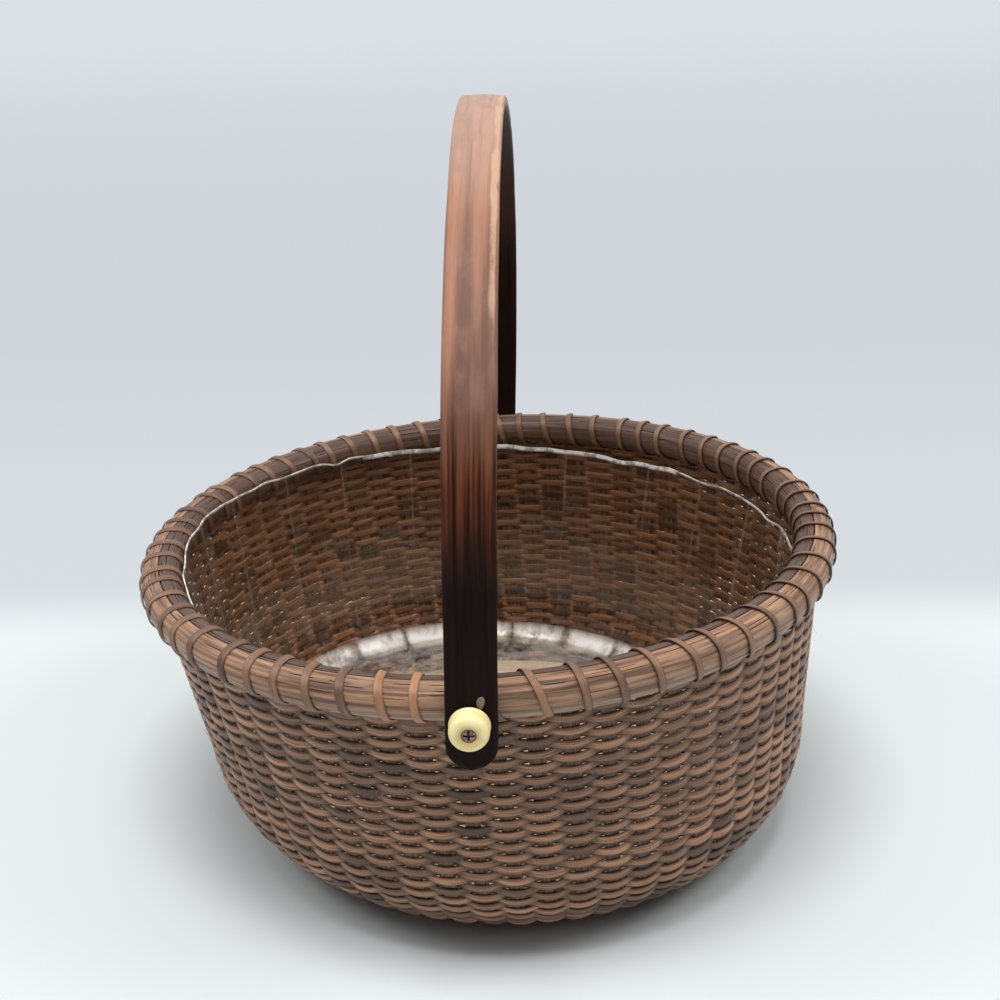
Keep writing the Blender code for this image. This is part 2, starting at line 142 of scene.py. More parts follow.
base_wood, maker = new_finish("turned_base_wood")
place = maker.node("TexCoord", output="Object")
board = fibre(place, 9, 150, 60, 5.0, 0.6)
cloud = grain(place, 26.0, 4.0)
from_middle = maker.node("VectorMath", {"operation": "SUBTRACT"}, {0: place, 1: (BASE_SHIFT, 0, 0)})
flat = drawn_out(from_middle, 1, 1, 0)
reach = maker.node("VectorMath", {"operation": "LENGTH"}, {0: flat}, output="Value")
turning = maker.node("Math", {"operation": "SINE"}, {0: reach * (2 * math.pi / TURNING_STEP)})
pores = rise(fibre(place, 60, 1400, 300, 2.0), 0.58, 0.72)
wood = stained(rise(board, 0.3, 0.72), dye(176, 150, 116), dye(216, 194, 158))
wood = stained(rise(cloud, 0.42, 0.75) * 0.5, wood, dye(128, 108, 78))
wood = stained(pores * 0.6, wood, dye(84, 66, 44))
lay_on(maker, wood, 0.5 + 0.2 * board, board + 0.35 * turning - 0.5 * pores, 0.0002)
base_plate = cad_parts["base_plate"]
base_plate.data.materials.clear()
base_plate.data.materials.append(base_wood)


# Staves. 65 flat uprights split from rattan and stained dark brown. Each one stands with its foot in
# the base's groove, bends up round the corner and ends between the two hoops of the rim.

STAVE_COUNT = 65
PITCH = 2 * math.pi / STAVE_COUNT
RIM_HEIGHT = 0.1352
RIM_SLOPE = 0.0304
BASE_THICKNESS = 0.013
BASE_EDGE_RADIUS = 0.1028
CORNER_WIDTH = 0.0418
CORNER_HEIGHT = 0.0523
WEAVE_LIFT = 0.0012
WALL_TOP_RADIUS = 0.1533
WEAVE_TOP = 0.1262
WALL_THICKNESS = 0.0051
STAVE_RING_RADIUS = 0.15075
STAVE_THICKNESS = 0.0012
STAVE_WIDTH = 0.0069
STAVE_FOOT_RADIUS = 0.0972
STAVE_TOP = 0.1410


def leaned(points):
    """The hand-made lean: the base lies a little to +X of the rim, and the rim rises towards +X."""
    x, y, z = points[..., 0], points[..., 1], points[..., 2]
    share = np.clip(z - BASE_THICKNESS, 0, None) / (RIM_HEIGHT - BASE_THICKNESS)
    return np.stack([x + BASE_SHIFT * (1 - share), y, z + RIM_SLOPE * x * share], -1)


def round_basket(angle, radius, height):
    """Points at these angles, radii and heights round the basket's middle, before the lean."""
    angle, radius, height = np.broadcast_arrays(angle, radius, height)
    return np.stack([radius * np.cos(angle), radius * np.sin(angle), height], -1)


def lengths_along(points):
    """How far along a line of points each of them lies."""
    return np.concatenate([[0], np.cumsum(np.linalg.norm(np.diff(points, axis=0), axis=1))])


def wall_course():
    """The wall's middle from base to rim: lengths along it, radii, heights and outward normals."""
    turn = np.linspace(0, math.pi / 2, 90)
    radius = BASE_EDGE_RADIUS + CORNER_WIDTH * np.sin(turn)
    height = WEAVE_LIFT + CORNER_HEIGHT * (1 - np.cos(turn))
    flare = np.linspace(0, 1, 90)[1:]
    radius = np.concatenate([radius, radius[-1] + (WALL_TOP_RADIUS - radius[-1]) * flare])
    height = np.concatenate([height, height[-1] + (WEAVE_TOP - height[-1]) * flare])
    along = lengths_along(np.stack([radius, height], -1))
    even = np.linspace(0, along[-1], 400)
    radius = np.interp(even, along, radius)
    height = np.interp(even, along, height)
    slope = np.arctan2(np.gradient(height), np.gradient(radius))
    soft = np.convolve(np.pad(slope, 12, mode="edge"), np.ones(25) / 25, mode="valid")
    out = np.stack([np.sin(soft), -np.cos(soft)], -1)
    radius = radius - out[:, 0] * WALL_THICKNESS / 2
    height = height - out[:, 1] * WALL_THICKNESS / 2
    along = lengths_along(np.stack([radius, height], -1))
    return along, radius, height, out


course, course_radius, course_height, course_out = wall_course()


def on_wall(along, out=0.0):
    """Radius and height at this length up the wall and this far out from its middle."""
    along = np.asarray(along, float)
    out_r = np.interp(along, course, course_out[:, 0])
    out_z = np.interp(along, course, course_out[:, 1])
    radius = np.interp(along, course, course_radius) + out * out_r
    height = np.interp(along, course, course_height) + out * out_z
    return radius, height


def quads_round(rows, around, closed=False):
    """Four-sided faces of a sleeve of rows of points; a closed sleeve joins its last row to its first."""
    row = np.arange(rows if closed else rows - 1)[:, None]
    point = np.arange(around)[None, :]
    here, there = row * around, (row + 1) % rows * around
    following = (point + 1) % around
    corners = (here + point, here + following, there + following, there + point)
    return np.stack(np.broadcast_arrays(*corners), -1).reshape(-1, 4).tolist()


def turned_out(points, faces):
    """The faces with their fronts outwards, by the sign of the volume that they hold."""
    corners = points[np.array([face[:3] + face[-1:] for face in faces])]
    first, second, third, last = (corners[:, number] for number in range(4))
    held = np.sum(first * (np.cross(second, third) + np.cross(third, last)))
    return [face[::-1] for face in faces] if held < 0 else faces


def put_in(name, data):
    """An object of this mesh, lamp or camera in the scene."""
    made = bpy.data.objects.new(name, data)
    bpy.context.scene.collection.objects.link(made)
    return made


def make_piece(name, points, faces, finish, body, marks=None, sharp=40):
    """A piece of mesh with its finish and the marks that the finish reads, riding on its body."""
    mesh = bpy.data.meshes.new(name)
    mesh.from_pydata(points.tolist(), [], faces)
    mesh.polygons.foreach_set("use_smooth", [True] * len(faces))
    mesh.set_sharp_from_angle(angle=math.radians(sharp))
    for mark, values in (marks or {}).items():
        flat = values.ndim == 1
        layer = mesh.attributes.new(mark, "FLOAT" if flat else "FLOAT_VECTOR", "POINT")
        layer.data.foreach_set("value" if flat else "vector", values.astype(np.float32).ravel())
    piece = put_in(name, mesh)
    mesh.materials.append(finish)
    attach(piece, body)
    return piece


def sleeves(strips, closed=False):
    """Points and faces of many sleeves, each an array of rows of points, with their ends capped."""
    points = [strip.reshape(-1, 3) for strip in strips]
    faces = []
    first = 0
    for strip, here in zip(strips, points):
        rows, around = strip.shape[:2]
        sides = quads_round(rows, around, closed)
        if not closed:
            sides.append(list(range(around))[::-1])
            sides.append(list(range((rows - 1) * around, rows * around)))
        faces += [[first + point for point in face] for face in turned_out(here - here.mean(0), sides)]
        first += len(here)
    return np.concatenate(points), faces


def mark_of(maker, name, output="Fac"):
    """What the mesh's mark of this name says at each point."""
    return maker.node("Attribute", {"attribute_name": name}, output=output)


stave_cane, maker = new_finish("stained_stave_cane")
strand = mark_of(maker, "strand", "Vector")
fine = fibre(strand, 40, 1500, 50, 3.0, 0.6)
broad = fibre(strand, 30, 700, 50)
cane = stained(rise(broad, 0.3, 0.7), dye(76, 53, 40), dye(138, 102, 79))
cane = stained(rise(fine, 0.46, 0.62) * 0.7, cane, dye(62, 42, 32))
lay_on(maker, cane, 0.5 + 0.2 * broad, fine, 0.0003)

chance = np.random.default_rng(65)
stave_section = np.array([(-1.0, 0.0), (-0.82, 0.8), (-0.3, 1.0), (0.3, 1.0),
                          (0.82, 0.8), (1.0, 0.0), (0.8, -1.0), (-0.8, -1.0)])
stave_rows = np.linspace(0, 1, 34)
stave_strips = []
stave_marks = []
for number in range(STAVE_COUNT):
    angle = -math.pi / 2 + (number + 0.5) * PITCH
    wall_radius, wall_height = on_wall(stave_rows[1:] * course[-1])
    radius = np.concatenate([[STAVE_FOOT_RADIUS], wall_radius, [STAVE_RING_RADIUS, STAVE_RING_RADIUS]])
    height = np.concatenate([[wall_height[0]], wall_height, [WEAVE_TOP + 0.004, STAVE_TOP]])
    middle = np.stack([radius, height], -1)
    ahead = np.gradient(middle, axis=0)
    ahead /= np.linalg.norm(ahead, axis=1, keepdims=True)
    out = np.stack([ahead[:, 1], -ahead[:, 0]], -1)
    width = STAVE_WIDTH / 2 * np.clip(radius / STAVE_RING_RADIUS, 0.6, 1) * chance.uniform(0.94, 1.05)
    sway = 0.0004 * np.sin(np.linspace(0, 9, len(radius)) + chance.uniform(0, 6))
    across = stave_section[:, 0] * width[:, None] + sway[:, None]
    depth = stave_section[:, 1] * STAVE_THICKNESS / 2
    rows = round_basket(angle, radius[:, None] + out[:, :1] * depth, height[:, None] + out[:, 1:] * depth)
    rows[..., 0] -= math.sin(angle) * across
    rows[..., 1] += math.cos(angle) * across
    stave_strips.append(leaned(rows))
    up = np.repeat(lengths_along(middle), len(stave_section))
    side = (stave_section[None, :, 0] * width[:, None]).ravel()
    stave_marks.append(np.stack([up, side, np.full(len(up), number * 0.37)], -1))
points, faces = sleeves(stave_strips)
marks = {"strand": np.concatenate(stave_marks)}
staves = make_piece("staves", points, faces, stave_cane, "basket", marks)
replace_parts(staves, *[f"stave_group_{group:02d}" for group in range(1, 14)])


# Weavers. Flat rattan cane, soaked and woven over one stave and under the next, spiralling up from the
# base in 47 rows packed against each other. New lengths start behind a stave, so shades change on the way.

ROW_COUNT = 47
CANE_WIDTH = 0.0037
CANE_THICKNESS = 0.0009
CANE_TILT = 0.12
OUTER_SWING = 0.00135
INNER_SWING = 0.00110
STEPS_TO_STAVE = 8
MEAN_RADIUS = 0.14
FLOAT_DIP = 0.0004
WEAVE_START = 0.0022
WEAVE_END = 0.0004

weaver_cane, maker = new_finish("stained_weaver_cane")
strand = mark_of(maker, "strand", "Vector")
tone = mark_of(maker, "tone")
weaver_edge_shade = mark_of(maker, "edge")
fine = fibre(strand, 60, 2600, 40, 3.0, 0.6)
broad = fibre(strand, 45, 900, 40)
blotch = fibre(strand, 35, 35, 40, 2.0)
cane = stained(rise(tone, 0.0, 0.5), dye(84, 57, 41), dye(206, 151, 113))
cane = stained(rise(tone, 0.55, 1.0), cane, dye(190, 138, 100))
cane = stained(rise(blotch, 0.5, 0.75) * 0.5, cane, dye(178, 131, 102))
cane = stained(rise(broad, 0.35, 0.75) * 0.5, cane, dye(64, 44, 34))
cane = stained(rise(fine, 0.5, 0.66) * 0.6, cane, dye(54, 37, 29))
# Painted shade: the cane is darkened at its edges, a little on its back, and on its outer face where it dives
# behind a stave, so the gaps between rows read dark.
cane = stained(weaver_edge_shade * 0.85, cane, dye(18, 11, 8))
bark_shine = {"Specular IOR Level": 0.35, "Coat Weight": 0.25, "Coat Roughness": 0.2}
lay_on(maker, cane, 0.38 + 0.25 * broad, fine + 0.4 * broad, 0.00025, bark_shine)

chance = np.random.default_rng(47)
stave_passes = (ROW_COUNT + 1) * STAVE_COUNT
climb = (course[-1] - WEAVE_START - WEAVE_END) / ROW_COUNT
float_swing = 1 - 0.12 * chance.random(stave_passes + 2)
float_drop = 0.00011 * chance.standard_normal(stave_passes + 2)
float_tone = np.clip(0.33 + 0.10 * chance.standard_normal(stave_passes + 2), 0, 0.6)
start = 0
while start < stave_passes:
    length = int(chance.integers(30, 110))
    float_tone[start:start + length] += chance.uniform(-0.1, 0.08)
    start += length
for start in chance.integers(0, stave_passes, 90):
    float_tone[start:start + int(chance.integers(1, 5))] = chance.uniform(0.58, 0.9)
# Painted shade: the lowest rows are painted darker, more so towards the base.
float_tone -= 0.15 * np.clip(1 - np.arange(len(float_tone)) / (0.4 * stave_passes), 0, 1)
cane_section = np.array([(-1.0, -0.2), (-0.86, 0.75), (-0.4, 1.0), (0.4, 1.0),
                         (0.86, 0.75), (1.0, -0.2), (0.9, -0.9), (-0.9, -0.9)])
# Painted shade at each point round the cane's section, darkest at its edges.
cane_edge_shade = np.array([1.0, 0.9, 0.03, 0.0, 0.4, 0.95, 0.12, 0.12])
cane_front = np.array([1.0, 1.0, 1.0, 1.0, 1.0, 1.0, 0.0, 0.0])


def woven(first, last):
    """The weaver from one pass over a stave to another: its rows of points and the marks for its finish."""
    step = np.arange(first * STEPS_TO_STAVE, last * STEPS_TO_STAVE + 1) / STEPS_TO_STAVE
    nearest = np.rint(step).astype(int)
    swing = np.cos(math.pi * step)
    swing = swing * (1.16 - 0.16 * swing * swing)
    before = np.floor(step).astype(int)
    part = step - before
    part = part * part * (3 - 2 * part)
    drop = float_drop[before] * (1 - part) + float_drop[before + 1] * part
    angle = -math.pi / 2 + (step + 0.5) * PITCH
    slow = 0.00035 * np.sin(angle * 3 + step / 290.0) + 0.00022 * np.sin(angle * 7 - step / 210.0)
    bottom = np.clip(step / STAVE_COUNT, 0, 1)
    row = np.minimum(step / STAVE_COUNT, ROW_COUNT)
    along = WEAVE_START + row * climb + (drop + slow - FLOAT_DIP * np.clip(swing, 0, 1)) * bottom
    out = swing * float_swing[nearest] * np.where(swing > 0, OUTER_SWING, INNER_SWING)
    rows = []
    for across, through in cane_section:
        side = across * CANE_WIDTH / 2
        radius, height = on_wall(along + side, out + through * CANE_THICKNESS / 2 - side * CANE_TILT)
        rows.append(round_basket(angle, radius, height))
    points = leaned(np.stack(rows, 1))
    length = np.repeat(step * PITCH * MEAN_RADIUS, 8)
    side = np.tile(cane_section[:, 0] * CANE_WIDTH / 2, len(step))
    strand = np.stack([length, side, np.repeat(nearest * 0.013, 8)], -1)
    # Painted shade on the outer face where the cane dives behind a stave.
    tucked_shade = np.clip((0.45 - swing) / 0.7, 0, 1)
    edge = np.maximum(cane_edge_shade[None, :], 0.65 * tucked_shade[:, None] * cane_front[None, :])
    return points, strand, np.repeat(float_tone[nearest], 8), edge.ravel()


for name, first_row in (("weavers_low", 0), ("weavers_middle", 16), ("weavers_high", 32)):
    strip, strand, tone, edge = woven(first_row * STAVE_COUNT, (first_row + 16) * STAVE_COUNT)
    points, faces = sleeves([strip])
    marks = {"strand": strand, "tone": tone, "edge": edge}
    weavers = make_piece(name, points, faces, weaver_cane, "basket", marks, 60)
    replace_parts(weavers, "weaver_outside", "weaver_inside")


# Frayed fibres. A few hair-thin splinters of the same cane that have lifted from the weavers with wear,
# mostly low on the wall and on its right side. Each is still rooted in the cane that it split from.

FIBRE_RADIUS = 0.00014
FIBRE_PLACES = ((0.03, 0.1105), (0.12, 0.071), (-0.62, 0.026), (-1.35, 0.014), (-1.9, 0.018), (-2.3, 0.03),
                (-0.2, 0.098), (0.5, 0.05), (1.4, 0.04), (2.2, 0.085), (-2.75, 0.063), (-1.1, 0.05),
                (-0.95, 0.012))

chance = np.random.default_rng(7)
fibre_strips = []
for angle, height in FIBRE_PLACES:
    along = np.interp(height, course_height, course)
    length = chance.uniform(0.004, 0.008)
    lift = chance.uniform(0.0012, 0.0026)
    run = chance.choice([-1.0, 1.0]) * length
    spread = np.linspace(0, 1, 8)
    climbing = chance.uniform(-0.3, 0.5) * length * spread
    radius, level = on_wall(along + climbing, WALL_THICKNESS / 2 - 0.0006 + lift * spread ** 1.6)
    middle = leaned(round_basket(angle + run * spread / MEAN_RADIUS, radius, level))
    rows = []
    for place, share in zip(middle, spread):
        thin = FIBRE_RADIUS * (1 - 0.75 * share)
        rows.append([place + thin * np.array([math.cos(turn) * 0.5, math.cos(turn), math.sin(turn)])
                     for turn in (0.0, 2.1, 4.2)])
    fibre_strips.append(np.array(rows))
points, faces = sleeves(fibre_strips)
marks = {"strand": points.copy(), "tone": np.full(len(points), 0.3), "edge": np.zeros(len(points))}
make_piece("frayed_fibres", points, faces, weaver_cane, "basket", marks)


# Rim hoops. Two thick half-round rattan hoops, one outside the staves' ends and one inside, with a dark
# seam where they meet on top. The grain runs round the rim and has opened into short splits.

BUNDLE_HALF_WIDTH = 0.0086
BUNDLE_HALF_HEIGHT = 0.0077
SEAM_HALF_WIDTH = 0.00006
STAVE_SLOT_HALF_WIDTH = 0.0010
HOOP_STEPS = STAVE_COUNT * 12
SPLIT_DEGREES = (84, 72, 61, 50, 38, 24, 8, -12, -34)
SPLIT_HALF_WIDTH = 0.00022
SPLIT_DEPTH = 0.00055

rim_cane, maker = new_finish("stained_rim_cane")
strand = mark_of(maker, "strand", "Vector")
split = mark_of(maker, "split")
under = mark_of(maker, "under")
inside = mark_of(maker, "inside")
fine = fibre(strand, 26, 3600, 1, 4.0, 0.65)
broad = fibre(strand, 22, 520, 1)
blotch = fibre(strand, 30, 60, 1)
cane = stained(rise(broad, 0.28, 0.72), dye(96, 62, 43), dye(200, 152, 116))
cane = stained(rise(blotch, 0.5, 0.8) * 0.6, cane, dye(206, 170, 142))
cane = stained(rise(fine, 0.5, 0.64) * 0.5, cane, dye(68, 45, 34))
# Painted shade: the inner hoop is painted darker than the outer one.
cane = stained(inside * 0.85, cane, dye(70, 44, 32))
cane = stained(under * rise(broad, 0.2, 0.5) * 0.75, cane, dye(178, 162, 148))
# Painted shade down in the splits.
cane = stained(rise(split, 0.15, 0.6), cane, dye(22, 13, 10))
rim_shine = {"Coat Weight": 0.3, "Coat Roughness": 0.25}
lay_on(maker, cane, 0.4 + 0.22 * broad, fine + 0.6 * broad - split, 0.0004, rim_shine)


def hoop_section(side):
    """A hoop's section from the seam on top round to the slot below and back up inside, with its splits."""
    slip = math.degrees(SPLIT_HALF_WIDTH / BUNDLE_HALF_WIDTH)
    degrees = [(89.0, 0.0)]
    for place in SPLIT_DEGREES:
        degrees += [(place + slip, 0.0), (place, 1.0), (place - slip, 0.0)]
    degrees += [(place, 0.0) for place in (67, 55, 44, 31, 16, -2, -23, -45, -58, -70, -80, -88)]
    degrees.sort(reverse=True)
    outline = []
    for degree, splits in degrees:
        turn = math.radians(degree)
        reach = BUNDLE_HALF_WIDTH - SEAM_HALF_WIDTH
        across = SEAM_HALF_WIDTH + reach * math.cos(turn) ** 0.82
        height = BUNDLE_HALF_HEIGHT * math.copysign(abs(math.sin(turn)) ** 0.82, turn)
        outline.append((across, height, splits, degree))
    outline += [(STAVE_SLOT_HALF_WIDTH, -BUNDLE_HALF_HEIGHT * 0.97, 0.0, -90.0),
                (STAVE_SLOT_HALF_WIDTH, BUNDLE_HALF_HEIGHT * 0.72, 0.0, -100.0),
                (SEAM_HALF_WIDTH, BUNDLE_HALF_HEIGHT * 0.88, 0.0, -110.0)]
    section = np.array(outline)
    section[:, 0] *= side
    return section


def turns_round(count):
    """This many even turns round a circle, from 0."""
    return np.linspace(0, 2 * math.pi, count, endpoint=False)


def make_hoop(name, side, seed):
    """One hoop of the rim, outside it with a side of 1 and inside it with a side of -1."""
    chance = np.random.default_rng(seed)
    section = hoop_section(side)
    around = len(section)
    angle = turns_round(HOOP_STEPS)
    run = angle * STAVE_RING_RADIUS
    depth = np.zeros((HOOP_STEPS, around))
    for column in np.flatnonzero(section[:, 2]):
        often = 20 if section[column, 3] > 45 else 9
        for middle in chance.uniform(0, run[-1], often):
            half = chance.uniform(0.004, 0.011)
            away = np.abs((run - middle + run[-1] / 2) % run[-1] - run[-1] / 2)
            opened = np.clip(1 - away / half, 0, 1) ** 0.5 * chance.uniform(0.6, 1)
            depth[:, column] = np.maximum(depth[:, column], opened)
    ridge = chance.uniform(0, 2 * math.pi, around)
    wander = 0.00007 * np.sin(run[:, None] * 70 + ridge) + 0.00006 * np.sin(run[:, None] * 31 + ridge * 3)
    inward = SPLIT_DEPTH * depth + wander * (section[:, 3] > -89)
    turn = np.radians(np.clip(section[:, 3], -90, 90))
    away_x = np.cos(turn) * side
    radius = STAVE_RING_RADIUS + section[None, :, 0] - inward * away_x
    height = RIM_HEIGHT + section[None, :, 1] - inward * np.sin(turn)
    strip = leaned(round_basket(angle[:, None], radius, height))
    length = lengths_along(section[:, :2])
    marks = np.stack(np.broadcast_arrays(run[:, None], length[None, :], np.full((1, 1), seed * 0.7)), -1)
    low = np.clip((-section[:, 3] - 18) / 20, 0, 1) * (section[:, 3] > -89) * (side > 0)
    points, faces = sleeves([strip], True)
    hoop_marks = {"strand": marks.reshape(-1, 3), "split": depth.ravel(), "under": np.tile(low, HOOP_STEPS),
                  "inside": np.full(len(points), 1.0 if side < 0 else 0.0)}
    return make_piece(name, points, faces, rim_cane, "basket", hoop_marks, 50)


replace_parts(make_hoop("rim_hoop_outside", 1, 11), "outer_hoop")
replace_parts(make_hoop("rim_hoop_inside", -1, 23), "inner_hoop")


# Rim lashing. One long strip of thin flat cane binds the hoops: it comes up inside, crosses the top over a
# stave, slants down outside and passes back between two staves. Its lower edge stands a little proud.

LASHING_WIDTH = 0.0034
LASHING_THICKNESS = 0.0006
LASHING_PROUD = 0.00035
STEPS_IN_TURN = 44
TURN_SHIFTS = {0: -0.7, 1: 0.1, 2: 1.15, 3: 0.6, 4: 0.9, 5: 1.0, 6: 0.3, 7: 0.3, 8: 0.4, 9: 0.7, 10: -0.4,
               11: -0.2, 12: 0.2, 13: 1.2, 14: 1.7, 15: 1.1, 64: 1.0, 63: 0.8, 62: 1.05, 61: 0.9, 60: 1.1,
               59: 1.5, 58: 2.2, 57: 2.7}
PALE_TURNS = {63: 0.95, 62: 0.8, 1: 0.72, 60: 0.55, 59: 0.5, 4: 0.5, 7: 0.45}

lashing_cane, maker = new_finish("stained_lashing_cane")
strand = mark_of(maker, "strand", "Vector")
tone = mark_of(maker, "tone")
edge = mark_of(maker, "edge")
fine = fibre(strand, 60, 4200, 1, 3.0, 0.6)
broad = fibre(strand, 70, 500, 1)
cane = stained(rise(tone, 0.0, 0.5), dye(84, 59, 46), dye(136, 101, 79))
cane = stained(rise(tone, 0.5, 1.0) * rise(broad, 0.2, 0.5), cane, dye(196, 140, 100))
cane = stained(rise(broad, 0.4, 0.75) * 0.5, cane, dye(176, 134, 104))
cane = stained(rise(fine, 0.52, 0.68) * 0.45, cane, dye(80, 54, 42))
# Painted shade along the strip's edges and on its underside.
cane = stained(edge * 0.8, cane, dye(34, 21, 17))
lay_on(maker, cane, 0.36 + 0.2 * broad, fine, 0.0002)

chance = np.random.default_rng(31)
lashing_section = np.array([(-1.0, 0.35), (-0.94, 1.15), (-0.6, 1.25), (0.0, 1.0),
                            (0.6, 0.6), (1.0, 0.05), (0.6, -0.15), (-0.6, -0.15)])
# Painted shade at each point round the strip's section.
lashing_edge_shade = np.array([1.0, 0.5, 0.0, 0.0, 0.0, 0.7, 1.0, 1.0])
shifts = np.radians([TURN_SHIFTS.get(number, chance.uniform(-0.7, 1.2)) for number in range(STAVE_COUNT)])
leans = chance.uniform(0.1, 0.42, STAVE_COUNT)
leans[63] = 0.02
leans[1] = 0.5
tones = np.clip(0.34 + 0.12 * chance.standard_normal(STAVE_COUNT), 0.1, 0.62)
for number, value in PALE_TURNS.items():
    tones[number] = value


def bundle_round(turn, out):
    """A point of the bound rim's outline, at this turn from its outer side, this far out from the hoops."""
    across = (BUNDLE_HALF_WIDTH + out) * np.copysign(np.abs(np.cos(turn)) ** 0.82, np.cos(turn))
    height = (BUNDLE_HALF_HEIGHT + out) * np.copysign(np.abs(np.sin(turn)) ** 0.82, np.sin(turn))
    return across, height


way = 2 * np.arange(STEPS_IN_TURN) / STEPS_IN_TURN - 1
share = np.abs(way)
lean = leans[:, None]
slip = np.sign(way) * (lean * share + (0.5 - lean) * share ** 5)
middle_angle = -math.pi / 2 + (np.arange(STAVE_COUNT)[:, None] + 0.5 + slip) * PITCH
middle_angle = (middle_angle + shifts[:, None] * (1 - share ** 4)).ravel()
turn = np.tile(math.pi / 2 - way * math.pi, STAVE_COUNT)
across, height = bundle_round(turn, LASHING_PROUD)
middle = leaned(round_basket(middle_angle, STAVE_RING_RADIUS + across, RIM_HEIGHT + height))
ahead = np.roll(middle, -1, axis=0) - np.roll(middle, 1, axis=0)
ahead /= np.linalg.norm(ahead, axis=1, keepdims=True)
tilt = np.arctan2(np.sin(turn) * BUNDLE_HALF_WIDTH, np.cos(turn) * BUNDLE_HALF_HEIGHT)
outward = round_basket(middle_angle, np.cos(tilt), np.sin(tilt))
sideways = np.cross(outward, ahead)
sideways /= np.linalg.norm(sideways, axis=1, keepdims=True)
outward = np.cross(ahead, sideways)
narrowed = np.where(np.sin(turn) < -0.8, 0.62, 1.0)
half = LASHING_WIDTH / 2 * np.convolve(np.pad(narrowed, 3, mode="wrap"), np.ones(7) / 7, mode="valid")
strip = (middle[:, None, :] + sideways[:, None, :] * (lashing_section[None, :, :1] * half[:, None, None])
         + outward[:, None, :] * (lashing_section[None, :, 1:] * LASHING_THICKNESS))
points, faces = sleeves([strip], True)
side = np.tile(lashing_section[:, 0] * LASHING_WIDTH / 2, len(strip))
marks = {
    "strand": np.stack([np.repeat(lengths_along(middle), 8), side, np.zeros(len(points))], -1),
    "tone": np.repeat(tones, 8 * STEPS_IN_TURN),
    "edge": np.tile(lashing_edge_shade, len(strip)),
}
lashing = make_piece("lashing", points, faces, lashing_cane, "basket", marks, 60)
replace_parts(lashing, "rim_lashing")


# Bail. A flat strap of hardwood, steamed and bent to an arch with rounded feet, slightly crowned outside.
# Years of hands have worn the stain off its crown and its right edge; the feet are nearly black.

PIVOT_HEIGHT = 0.1325
STRAP_WIDTH = 0.0192
STRAP_THICKNESS = 0.0055
STRAP_CROWN = 0.0007
STRAP_MIDDLE = 0.16305
BAIL_RISE = 0.1995
LEG_RISE = 0.0637
FOOT_DROP = 0.0193
FOOT_ROUNDING = 0.0092
BAIL_LEAN = math.radians(1.04)
BORE_RADIUS = 0.0017
DRILL_REACH = 0.008
ARCH_ROWS = 190
LEG_ROWS = 26
FOOT_ROWS = 9
NICK_RISE = 0.178
NICK_DEPTH = 0.0009
CHIP_DEPTH = 0.00035
STRAP_RISES = (0.0, 0.06, 0.12, 0.175, 0.2)
FRONT_DRIFTS = (0.0005, 0.0008, 0.00105, 0.00075, 0.0003)
BACK_DRIFTS = (0.0005, 0.0014, 0.0018, 0.0011, 0.0003)

bail_wood, maker = new_finish("worn_bail_wood")
strand = mark_of(maker, "strand", "Vector")
height = mark_of(maker, "height")
face = mark_of(maker, "face")
worn_edge = mark_of(maker, "worn")
streak = fibre(strand, 9, 330, 1, 5.0, 0.6)
broad = fibre(strand, 5, 110, 1, 2.0)
fine = fibre(strand, 60, 3800, 1, 3.0, 0.65)
blotch = fibre(strand, 60, 110, 1, 4.0)
wood = stained(rise(broad, 0.38, 0.62), dye(130, 98, 86), dye(182, 132, 106))
# Painted highlight: the top of the arch is painted paler and greyer.
wood = stained(rise(height, 0.165, 0.192) * 0.5, wood, dye(190, 166, 154))
wood = stained(rise(streak, 0.48, 0.78) * 0.45, wood, dye(104, 64, 50))
wood = stained(rise(blotch, 0.48, 0.72) * 0.5, wood, dye(166, 134, 118))
wood = stained(rise(fine, 0.55, 0.68) * 0.3, wood, dye(96, 58, 44))
reddish = stained(rise(streak, 0.36, 0.64), dye(46, 20, 13), dye(120, 68, 44))
low = rise(height + 0.05 * (streak - 0.5), 0.131, 0.088)
wood = stained(low, wood, reddish)
foot = rise(height + 0.02 * (blotch - 0.5), 0.098, 0.050)
wood = stained(foot, wood, stained(rise(streak, 0.3, 0.7), dye(14, 5, 4), dye(34, 13, 9)))
pale = rise(worn_edge + 1.3 * (blotch - 0.5) + 0.5 * (streak - 0.5), 0.5, 0.8) * rise(height, 0.115, 0.155)
wood = stained(pale * 0.85, wood, dye(206, 168, 142))
# Painted shade: the strap's inner face is painted nearly black.
wood = stained(face * 0.9, wood, dye(34, 20, 17))
relief = 0.5 * fine + 0.6 * streak - 0.5 * pale
lay_on(maker, wood, 0.3 + 0.3 * blotch, relief, 0.0003, {"Specular IOR Level": 0.08})


def strap_stations():
    """Rows from the front foot over the arch to the back: y, rise, outward y and z, share of the width."""
    stations = []
    for turn in np.linspace(0.06, 1, FOOT_ROWS) * math.pi / 2:
        foot_rise = FOOT_ROUNDING * (1 - math.cos(turn)) - FOOT_DROP
        stations.append((-STRAP_MIDDLE, foot_rise, -1.0, 0.0, math.sin(turn)))
    for rise_here in np.linspace(FOOT_ROUNDING - FOOT_DROP, LEG_RISE, LEG_ROWS)[1:-1]:
        stations.append((-STRAP_MIDDLE, rise_here, -1.0, 0.0, 1.0))
    arch_rise = BAIL_RISE - LEG_RISE
    for turn in np.linspace(0, math.pi / 2, ARCH_ROWS // 2):
        out = Vector((-math.cos(turn) / STRAP_MIDDLE, math.sin(turn) / arch_rise)).normalized()
        place = (-STRAP_MIDDLE * math.cos(turn), LEG_RISE + arch_rise * math.sin(turn))
        stations.append((*place, out.x, out.y, 1.0))
    mirrored = [(-y, z, -out_y, out_z, width) for y, z, out_y, out_z, width in stations[-2::-1]]
    return np.array(stations + mirrored)


